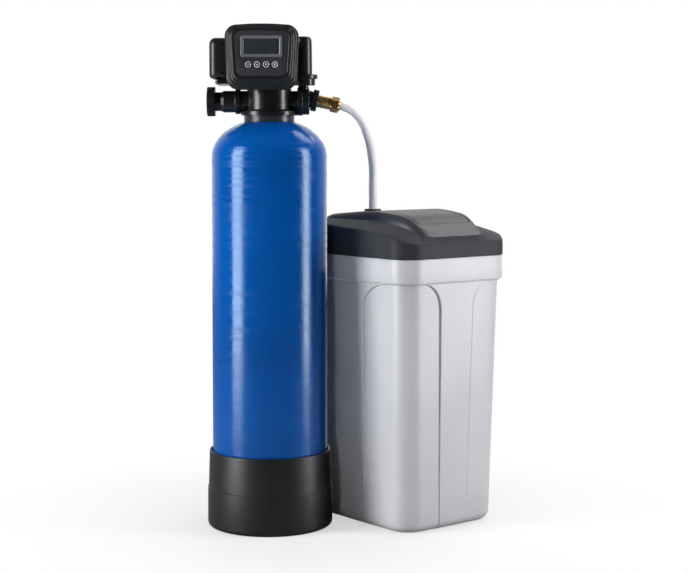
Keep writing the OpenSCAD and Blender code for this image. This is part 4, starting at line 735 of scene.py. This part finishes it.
COVER_LEFT, COVER_RIGHT = span("front_cover", X)
COVER_LOW, COVER_HIGH = span("front_cover", Z)
COVER_MID = (COVER_LEFT + COVER_RIGHT) / 2
COVER_TAPER = 6
COVER_CORNER = 26
COVER_CROWN = 4
WINDOW = (-84, 28, 1004.2, 1078.2)
COVER_BACK = -72
PANEL_INSET = 21
PANEL_BACK, PANEL_FRONT = -85.3, -89.8
CAVITY_INSET = 11
SCREEN_W, SCREEN_H = 77, 33
SCREEN_Z = middle("display_window", Z)
BEZEL_W = 7
BUTTON_R = 7
COVER_STEPS = [(0, -72), (0, -77), (0.5, -79), (1.6, -80.2), (3.2, -80.5), (3.9, -80.9), (4.8, -82.6), (5.7, -84),
               (6.9, -84.5), (8.2, -84.6), (8.9, -85), (9.8, -86.6), (10.7, -87.9), (11.9, -88.4), (13.2, -88.5),
               (13.9, -88.9), (14.5, -90), (15.3, -90.8), (16.4, -91), (19, -91), (20.2, -90.8), (20.9, -90.2)]


def front_view(y):
    """Place for an outline seen from the front at a depth: its x runs right, its y up and its z to the front."""
    return Matrix.Translation((0, y * MM, 0)) @ Matrix.Rotation(math.pi / 2, 4, "X")


def cover_outline(inset):
    """Outline of the front cover, inset by a margin, in metres."""
    left, right = COVER_LEFT + inset, COVER_RIGHT - inset
    top, bottom = COVER_HIGH - 0.7 * inset, COVER_LOW + 1.4 * inset
    radius = COVER_CORNER - inset / 2
    middle_x, half = (left + right) / 2, (right - left) / 2
    crest = [(middle_x + t * half, top - COVER_CROWN * t * t) for t in (0.35, 0.2, 0, -0.2, -0.35)]
    return outline([(left + COVER_TAPER, bottom, radius), (right - COVER_TAPER, bottom, radius),
                    (right, top - COVER_CROWN, radius), *crest, (left, top - COVER_CROWN, radius)], steps=10)


def lifted(points, place):
    """Flat points at a place."""
    return [place @ Vector((p.x, p.y, 0)) for p in points]


def build_cover():
    """Front cover: a shell with stepped ridges, a back plate, and a panel with holes."""
    stack = COVER_STEPS + [(20.9, PANEL_BACK), (CAVITY_INSET, PANEL_BACK), (CAVITY_INSET, COVER_BACK)]
    shell = loft("cover_ridges", [lifted(cover_outline(inset), front_view(y)) for inset, y in stack], "loop")
    x0, x1, z0, z1 = WINDOW
    window = outline([(x0, z0), (x1, z0), (x1, z1), (x0, z1)])
    back = plate("cover_back", [cover_outline(CAVITY_INSET), window[::-1]], 3 * MM, front_view(COVER_BACK))
    dress(merged("cover_shell", [shell, back]), HEAD_BLACK, "softener", "head_black", "front_cover")

    bezel_hole = outline(round_rect(SCREEN_W + 8, SCREEN_H + 8, 2, COVER_MID, SCREEN_Z))
    holes = [bezel_hole[::-1]]
    for i in range(1, 5):
        x, z = middle(f"button_{i}", X), middle(f"button_{i}", Z)
        holes.append(circle(BUTTON_R + 0.4, x, z)[::-1])
    panel = plate("cover_panel", [cover_outline(PANEL_INSET), *holes], (PANEL_BACK - PANEL_FRONT) * MM,
                  front_view(PANEL_BACK), 0.3 * MM)
    dress(panel, PANEL_BLACK, "softener", "head_black")


def circle(radius, x=0, y=0, count=48):
    """Circle outline in metres, from millimetres."""
    turns = [math.tau * i / count for i in range(count)]
    return [Vector((x + radius * math.cos(t), y + radius * math.sin(t))) * MM for t in turns]


def build_display():
    """Bezel with a chamfered opening, and the dark window behind it."""
    size = (SCREEN_W + 2 * BEZEL_W, SCREEN_H + 2 * BEZEL_W)
    rings = []
    for inset, corner, y in ((0.2, 4, -89.9), (0, 4, -90.6), (0.3, 4, -91.8), (1.2, 3.6, -92.3), (5, 2.6, -92.3),
                             (5.6, 2.2, -92.1), (6.9, 1.2, -91.0), (7, 1, -86.4), (5, 1, -86.4), (5, 1, -89.9)):
        shape = round_rect(size[0] - 2 * inset, size[1] - 2 * inset, corner, COVER_MID, SCREEN_Z)
        rings.append(lifted(outline(shape), front_view(y)))
    dress(loft("bezel_frame", rings, "loop"), BEZEL_GREY, "softener", "bezel_grey", "display_bezel")
    pane = outline(round_rect(SCREEN_W - 0.3, SCREEN_H - 0.3, 1, COVER_MID, SCREEN_Z))
    window = plate("screen_pane", [pane], 4.5 * MM, front_view(-86.3), 0.2 * MM)
    dress(window, WINDOW_DARK, "softener", "window_dark", "display_window")


def mark(name, shapes, place, body):
    """Thin pale print on a face."""
    dress(plate(name, shapes, 0.12 * MM, place), MARK_GREY, body, "bezel_grey")


def build_buttons():
    """Round buttons, each with a printed ring and a plain sign."""
    signs = [
        [outline([(-2.6, -1.4), (2.6, -1.4), (2.6, -0.6), (-2.6, -0.6)]),
         outline([(-2.6, 0.6), (2.6, 0.6), (2.6, 1.4), (-2.6, 1.4)])],
        [outline([(-2.4, -1.6), (2.4, -1.6), (0, 2.2)])],
        [outline([(-2.4, 1.6), (0, -2.2), (2.4, 1.6)])],
        [circle(2.3), circle(1.3)[::-1]],
    ]
    for i, sign in enumerate(signs, 1):
        node = f"button_{i}"
        x, z = middle(node, X), middle(node, Z)
        back, front = (-value for value in span(node, Y)[::-1])
        place = front_view(0) @ Matrix.Translation(mm(x, z, 0))
        knob = lathe(node + "_knob", [
            (0, back), (BUTTON_R + 1.6, back, 0.3), (BUTTON_R + 1.6, back + 1.6, 0.3), (BUTTON_R, back + 1.6),
            (BUTTON_R, front, 0.6), (0, front)], place, segments=64)
        dress(knob, BUTTON_BLACK, node, "button_black", node)
        face = place @ Matrix.Translation(mm(0, 0, front))
        mark(node + "_ring", [circle(BUTTON_R - 0.5), circle(BUTTON_R - 1.7)[::-1]], face, node)
        mark(node + "_sign", sign, face, node)


def build_housing():
    """Rear housing: a hollow cover with soft edges, open below, with a window in its front."""
    left, right = span("rear_housing", X)
    low, high = span("rear_housing", Z)
    front, back = span("rear_housing", Y)
    wall, edge, soft = 3, 10, 17

    def ring(inset, y):
        """Outline of the housing at a depth, inset by a margin."""
        shape = round_rect(right - left - 2 * inset, high - low - 2 * inset, 14 - inset / 2,
                           (left + right) / 2, (low + high) / 2)
        return lifted(outline(shape, steps=10), front_view(y))

    x0, x1, z0, z1 = WINDOW
    window = outline(round_rect(x1 - x0, z1 - z0, 1, (x0 + x1) / 2, (z0 + z1) / 2), steps=10)
    rings = [ring(wall, back - edge), ring(wall, front + edge), ring(soft, front + wall),
             lifted(window, front_view(front + wall)), lifted(window, front_view(front)), ring(soft, front)]
    arcs = [math.radians(15 * i) for i in range(1, 7)]
    rings += [ring(soft * (1 - math.sin(t)), front + soft * (1 - math.cos(t))) for t in arcs]
    rings += [ring(edge * (1 - math.cos(t)), back - edge + edge * math.sin(t)) for t in [0] + arcs]
    housing = loft("housing_shell", rings)
    cut_away(housing, box_mesh("housing_mouth", (left + wall, front + wall, low - 5),
                               (right - wall, back - wall, low + wall + 2)))
    dress(housing, HEAD_BLACK, "softener", "head_black", "rear_housing")


def box_mesh(name, low, high):
    """Plain box between two corners in millimetres, for cutting."""
    corners = outline([(low[X], low[Y]), (high[X], low[Y]), (high[X], high[Y]), (low[X], high[Y])])
    return loft(name, [[Vector((p.x, p.y, z * MM)) for p in corners] for z in (low[Z], high[Z])])


def cut_away(thing, *cutters):
    """Cuts other meshes out of a piece, and drops them."""
    for cutter in cutters:
        step = thing.modifiers.new("cut", "BOOLEAN")
        step.operation = "DIFFERENCE"
        step.solver = "EXACT"
        step.object = cutter
    solid = thing.evaluated_get(bpy.context.evaluated_depsgraph_get())
    mesh = bpy.data.meshes.new_from_object(solid)
    thing.modifiers.clear()
    thing.data = mesh
    mesh.shade_smooth()
    mesh.set_sharp_from_angle(angle=math.radians(SHARP))
    for cutter in cutters:
        bpy.data.objects.remove(cutter)


build_cover()
build_display()
build_buttons()
build_housing()


# Salt tank, turned to the vessel

SALT_TURN = math.radians(38.5)
SALT_MID = 39
SALT_CENTRE = Matrix.Translation(mm(middle("brine_lid", X), middle("brine_lid", Y), 0))
SALT_CENTRE = SALT_CENTRE @ Matrix.Rotation(SALT_TURN, 4, "Z")
SALT = SALT_CENTRE @ Matrix.Translation(mm(0, -SALT_MID, 0))
LID_Z = 607.3
LID_HALF = 161
LID_CORNER = 51
LID_WALL = 4.5
RIM_Z = LID_Z - 0.3
BAND_Z = 553
BAND_HALF = 160
SALT_TOP, SALT_FOOT = 155, 140
SALT_CORNER = 50
SALT_EDGE = 20
SALT_WALL = 5
PILLAR_TOP, PILLAR_FOOT = 4, 1.2
PANEL_TOP, PANEL_FOOT = 47, 39
GROOVE_RUN, GROOVE_DIP = 1.25, 1.35
EDGE_LOOP = 1.5
ARCH_W, SIDE_ARCH_W, ARCH_H = 46, 78, 58
BAND_GROOVE = 2
RIM_IN, RIM_CORNER = 154, 44


def side_half(z):
    """Half width of the tank at a height, in millimetres."""
    return SALT_FOOT + (SALT_TOP - SALT_FOOT) * z / BAND_Z


def panel_half(z):
    """Half width of the raised panel of a side at a height, in millimetres."""
    return PANEL_FOOT + (PANEL_TOP - PANEL_FOOT) * z / BAND_Z


def salt_ring(z, half, corner, depth, share):
    """Ring of the tank: half width, corner, depth of the sunk corner pillars, and share of their arches."""
    corner_steps = 12
    run = max(GROOVE_RUN * depth, 0.4)
    edge = [(-run - EDGE_LOOP, depth), (-run - 0.5, depth), (-0.9 * run, GROOVE_DIP * depth),
            (-0.5 * run, 0.75 * depth), (-0.12 * run, 0.06 * depth), (0.3, 0), (EDGE_LOOP, 0)]
    turns = [math.radians(-90 + 90 * i / corner_steps) for i in range(corner_steps + 1)]
    ring = []
    for quarter in range(4):
        deep = quarter % 2
        along_side, reach = (half + SALT_MID, half) if deep else (half, half + SALT_MID)
        panel = panel_half(min(z, BAND_Z)) + share * (SIDE_ARCH_W if deep else ARCH_W)
        left = [(x - panel, y - reach) for x, y in edge]
        side = left + [(-x, y) for x, y in left[::-1]]
        side += [(along_side - corner + (corner - depth) * math.cos(t),
                  corner - reach + (corner - depth) * math.sin(t)) for t in turns]
        turn = SALT_CENTRE @ Matrix.Rotation(math.pi / 2 * quarter, 4, "Z")
        ring += [turn @ Vector(mm(x, y, z)) for x, y in side]
    return ring


def build_salt_tank():
    """Oblong tank: panels between sunk corner pillars that end in arches under a band."""
    rings = []
    for i in range(10):
        t = math.radians(90 * i / 9)
        z, inset = SALT_EDGE * (1 - math.cos(t)), SALT_EDGE * (1 - math.sin(t))
        rings.append(salt_ring(z, side_half(z) - inset, SALT_CORNER - inset / 2, PILLAR_FOOT, 0))
    arch_foot = BAND_Z - BAND_GROOVE - ARCH_H
    for i in range(1, 8):
        z = SALT_EDGE + (arch_foot - SALT_EDGE) * i / 8
        depth = PILLAR_FOOT + (PILLAR_TOP - PILLAR_FOOT) * i / 8
        rings.append(salt_ring(z, side_half(z), SALT_CORNER, depth, 0))
    for i in range(25):
        t = math.radians(90 * i / 24)
        z = arch_foot + ARCH_H * math.sin(t) - 0.4
        rings.append(salt_ring(z, side_half(z), SALT_CORNER, PILLAR_TOP, 1 - math.cos(t)))
    for z, half in ((BAND_Z - BAND_GROOVE, SALT_TOP), (BAND_Z - 1.4, SALT_TOP - BAND_GROOVE),
                    (BAND_Z + 0.4, SALT_TOP - BAND_GROOVE), (BAND_Z + 0.5, BAND_HALF - 1.6),
                    (BAND_Z + 1.4, BAND_HALF - 0.4), (BAND_Z + 3, BAND_HALF), (RIM_Z - 2, BAND_HALF),
                    (RIM_Z - 0.6, BAND_HALF - 0.6), (RIM_Z, BAND_HALF - 2)):
        rings.append(salt_ring(z, half, SALT_CORNER + half - BAND_HALF, 0, 1))
    inner = SALT_WALL + PILLAR_TOP
    rings += [salt_ring(RIM_Z, RIM_IN, RIM_CORNER, 0, 1), salt_ring(BAND_Z + 3, RIM_IN, RIM_CORNER, 0, 1),
              salt_ring(BAND_Z - 6, side_half(BAND_Z - 6) - inner, RIM_CORNER, 0, 1),
              salt_ring(28, side_half(28) - inner, RIM_CORNER, 0, 0),
              salt_ring(6, side_half(6) - inner - 14, SALT_CORNER - 14, 0, 0)]
    tank = loft("salt_tank_body", rings)
    dress(tank, SALT_GREY, "softener", "salt_tank_grey", "brine_tank")


# Lid: a skirt, a raised island with a falling crown, a hatch and a ring for the hose

SKIRT_LINE = [(-160, 0), (-110, 16), (-60, 24), (0, 29), (60, 32), (110, 35), (160, 36)]
LEDGE_LINE = [(-150, 15), (-110, 28), (-60, 40), (0, 46), (60, 47), (130, 47)]
CROWN_LINE = [(-150, 15), (-140, 22), (-125, 33), (-110, 42), (-100, 48), (-85, 55), (-65, 60), (-40, 63),
              (-20, 65), (20, 67), (60, 65), (118, 60), (172, 55)]
SKIRT_H = 32
ISLAND = [(-88, -150), (88, -150), (108, -90), (124, 172), (-124, 172), (-108, -90)]
ISLAND_SLOPE = 16
ISLAND_SOFT = 14
LID_RAYS = 240
GROMMET_H, GROMMET_R, GROMMET_RIM_R, GROMMET_FIT = 7.5, 14, 19, 0.3
CUT_TOP = LID_Z + 130
EDGE_SOFT = [(5, 1), (3.2, 0.3), (2, -1), (1.1, -3), (0.5, -6), (0, -10)]
HATCH_W, HATCH_FRONT, HATCH_CORNER, HATCH_T, HATCH_GAP = 156, 110, 8, 4, 2.1
HINGE = Vector(joints["hatch_hinge"]["pos_m"])
HINGE_V = (SALT.inverted() @ HINGE).y / MM
HINGE_WAY = Vector(joints["hatch_hinge"]["axis"])
KNUCKLE_R = 4.7
OPENING_BACK = HINGE_V + 6


def eased_line(line, v):
    """Height on a line of (place, height) points, with a smooth run through them."""
    if v <= line[0][0]:
        return line[0][1]
    if v >= line[-1][0]:
        return line[-1][1]
    i = next(k for k in range(len(line) - 1) if v <= line[k + 1][0])

    def slope(k):
        """Steepness of the line at one of its points."""
        before, after = line[max(k - 1, 0)], line[min(k + 1, len(line) - 1)]
        return (after[1] - before[1]) / (after[0] - before[0])

    (x0, y0), (x1, y1) = line[i], line[i + 1]
    run = x1 - x0
    t = (v - x0) / run
    return (y0 * (1 + 2 * t) * (1 - t) ** 2 + y1 * t * t * (3 - 2 * t)
            + run * (slope(i) * t * (1 - t) ** 2 - slope(i + 1) * t * t * (1 - t)))


def crown_z(v):
    """Height of the lid's crown at a place from its front to its back."""
    return LID_Z + SKIRT_H + eased_line(CROWN_LINE, v)


def oblong_ray(angle, half, corner):
    """Distance from the middle to a rounded oblong along a ray."""
    c, s = max(1e-6, abs(math.cos(angle))), max(1e-6, abs(math.sin(angle)))
    k = Vector((half - corner, half - corner + SALT_MID))
    if half / c * s <= k.y:
        return half / c
    if (half + SALT_MID) / s * c <= k.x:
        return (half + SALT_MID) / s
    m = k.dot((c, s))
    return m + math.sqrt(m * m - k.dot(k) + corner * corner)


def island_ray(angle, inset):
    """Distance from the middle to the island's soft outline along a ray."""
    ray = Vector((math.cos(angle), math.sin(angle)))
    total = 0
    for i, corner in enumerate(ISLAND):
        p, q = Vector(corner), Vector(ISLAND[(i + 1) % len(ISLAND)])
        p.y, q.y = p.y - SALT_MID, q.y - SALT_MID
        normal = Vector((q.y - p.y, p.x - q.x)).normalized()
        facing = normal.dot(ray)
        if facing > 0:
            total += (facing / (normal.dot(p) - inset)) ** ISLAND_SOFT
    return total ** (-1 / ISLAND_SOFT)


RAYS = [math.tau * i / LID_RAYS for i in range(LID_RAYS)]


def oblong_ring(half, rise=0, level=None):
    """Ring on the lid's outline, level or at a rise over the skirt's edge."""
    ring = []
    for angle in RAYS:
        reach = oblong_ray(angle, half, LID_CORNER + half - LID_HALF)
        u, v = reach * math.cos(angle), SALT_MID + reach * math.sin(angle)
        z = LID_Z + SKIRT_H + eased_line(SKIRT_LINE, v) + rise if level is None else level
        ring.append(SALT @ Vector(mm(u, v, z)))
    return ring


def island_ring(inset, share, drop=0, shrink=1):
    """Ring on the island: a share of the way from the ledge to the crown."""
    ring = []
    for angle in RAYS:
        reach = island_ray(angle, inset) * shrink
        u, v = reach * math.cos(angle), SALT_MID + reach * math.sin(angle)
        low = LID_Z + SKIRT_H + eased_line(LEDGE_LINE, v)
        high = max(low, crown_z(v))
        ring.append(SALT @ Vector(mm(u, v, low + (high - low) * share - drop)))
    return ring


def build_lid():
    """Lid shell with its opening, the rest under the hatch, and the seat of the hose's ring."""
    crown = [(i + 0.3) / 20.3 for i in range(21)]
    slope = [i / 10 for i in range(9, -1, -1)]
    rings = [island_ring(ISLAND_SLOPE, 1, 0, k) for k in crown]
    rings += [island_ring(ISLAND_SLOPE * s, (1 - (1 - s) ** 2) ** 0.75) for s in slope]
    rings += [oblong_ring(LID_HALF - inset, rise) for inset, rise in EDGE_SOFT]
    lip = RIM_IN - 0.8
    wall = LID_HALF - LID_WALL
    rings += [oblong_ring(LID_HALF, level=LID_Z + 0.6), oblong_ring(LID_HALF - 0.6, level=LID_Z),
              oblong_ring(lip, level=LID_Z), oblong_ring(lip, level=LID_Z - 9), oblong_ring(lip - 3, level=LID_Z - 9),
              oblong_ring(lip - 3, level=LID_Z + 6), oblong_ring(wall, level=LID_Z + 12),
              oblong_ring(wall, -LID_WALL), island_ring(LID_WALL, 0, LID_WALL)]
    rings += [island_ring(ISLAND_SLOPE + LID_WALL, 1, LID_WALL, k) for k in crown[::-1]]
    lid = loft("lid_shell", rings)

    side, front = HATCH_W / 2 + HATCH_GAP, -HATCH_FRONT - HATCH_GAP
    opening = [(-side, OPENING_BACK), (-side, front, 9), (side, front, 9), (side, OPENING_BACK)]
    levels = (LID_Z - 20, CUT_TOP)
    mouth = [[SALT @ Vector((p.x, p.y, z * MM)) for p in outline(opening, steps=8)] for z in levels]
    sleeve_r, seat_r = GROMMET_R + GROMMET_FIT, GROMMET_RIM_R + GROMMET_FIT
    seat_z = span("hose_grommet", Z)[1] - GROMMET_H
    sleeve = lathe("sleeve_cut", [(0, LID_Z), (sleeve_r, LID_Z), (sleeve_r, CUT_TOP), (0, CUT_TOP)], HOSE_DROP)
    seat = lathe("seat_cut", [(0, seat_z), (seat_r, seat_z), (seat_r, CUT_TOP), (0, CUT_TOP)], HOSE_DROP)
    cut_away(lid, loft("mouth_cut", mouth), sleeve, seat)
    dress(lid, LID_CHARCOAL, "lid", "lid_charcoal", "brine_lid")
    # Painted shade: faces outside the island, the ledge and the skirt, take the darker, less glossy copy of the
    # charcoal
    lid.data.materials.append(LID_PAINTED_SHADE)
    for face in lid.data.polygons:
        spot = SALT_CENTRE.inverted() @ face.center / MM
        face.material_index = int(spot.xy.length > island_ray(math.atan2(spot.y, spot.x), 0))

    rings = []
    for grow, depth in ((5, 4.6), (5, 8), (-6, 8), (-6, 4.6)):
        shape = hatch_outline(grow, OPENING_BACK - HINGE_V if grow < 0 else OPENING_BACK - HINGE_V + 5)
        rings.append([SALT @ Vector((p.x, p.y, (crown_z(p.y / MM) - depth) * MM)) for p in shape])
    dress(loft("hatch_rest", rings, "loop"), LID_CHARCOAL, "lid", "lid_charcoal")


def hatch_outline(grow, back):
    """Dense outline of the hatch, grown by a margin, with its back edge past the hinge, in metres."""
    half, front, corner = HATCH_W / 2 + grow, -HATCH_FRONT - grow, HATCH_CORNER + grow / 2
    shape = outline([(-half, HINGE_V + back), (-half, front, corner), (half, front, corner), (half, HINGE_V + back)],
                    steps=8)
    dense = []
    for a, b in zip(shape, shape[1:] + shape[:1]):
        count = 26 if (b - a).length > 20 * MM else 1
        dense += [a.lerp(b, i / count) for i in range(count)]
    return dense


def build_hatch():
    """Hatch that follows the crown, with a soft edge and a hinge knuckle."""
    shape = hatch_outline(0, 0)
    centre = Vector((0, (HINGE_V - HATCH_FRONT) / 2 * MM))

    def ring(scale, inset, drop):
        """Ring of the hatch: its scale, its inset and its drop under the crown."""
        points = []
        for p in shape:
            q = centre + (p - centre) * scale
            q -= (p - centre).normalized() * inset * MM
            points.append(SALT @ Vector((q.x, q.y, (crown_z(q.y / MM) - drop) * MM)))
        return points

    steps = [(i + 0.2) / 14.2 for i in range(15)]
    rings = [ring(k, 1.2, 0) for k in steps]
    rings += [ring(1, 0.35, 0.35), ring(1, 0, 1.2), ring(1, 0, HATCH_T)]
    rings += [ring(k, 0, HATCH_T) for k in steps[-2::-1]]
    leaf = loft("hatch_leaf", rings)
    half = HATCH_W / 2
    knuckle = lathe("hatch_knuckle", [(2.4, -half), (KNUCKLE_R, -half, 0.5), (KNUCKLE_R, half, 0.5), (2.4, half)],
                    along(HINGE, HINGE_WAY), closed=True, segments=48)
    dress(merged("hatch_panel", [leaf, knuckle]), LID_CHARCOAL, "hatch", "lid_charcoal", "salt_hatch")


def build_grommet():
    """Ring that lines the hole for the hose."""
    low, high = span("hose_grommet", Z)
    bore, seat = 9.4, high - GROMMET_H + 0.1
    ring = lathe("hose_ring", [
        (bore, low), (GROMMET_R, low, 0.4), (GROMMET_R, seat), (GROMMET_RIM_R, seat), (GROMMET_RIM_R, high, 2.2),
        (bore, high, 1.6)], HOSE_DROP, closed=True)
    dress(ring, SEAL_RUBBER, "lid", "seal_rubber", "hose_grommet")


build_salt_tank()
build_lid()
build_hatch()
build_grommet()

# The salt tank stays out of the vessel's reflections, as in the photograph
for piece in ("salt_tank_body", "lid_shell", "hatch_panel", "hose_ring"):
    bpy.data.objects[piece].visible_glossy = False
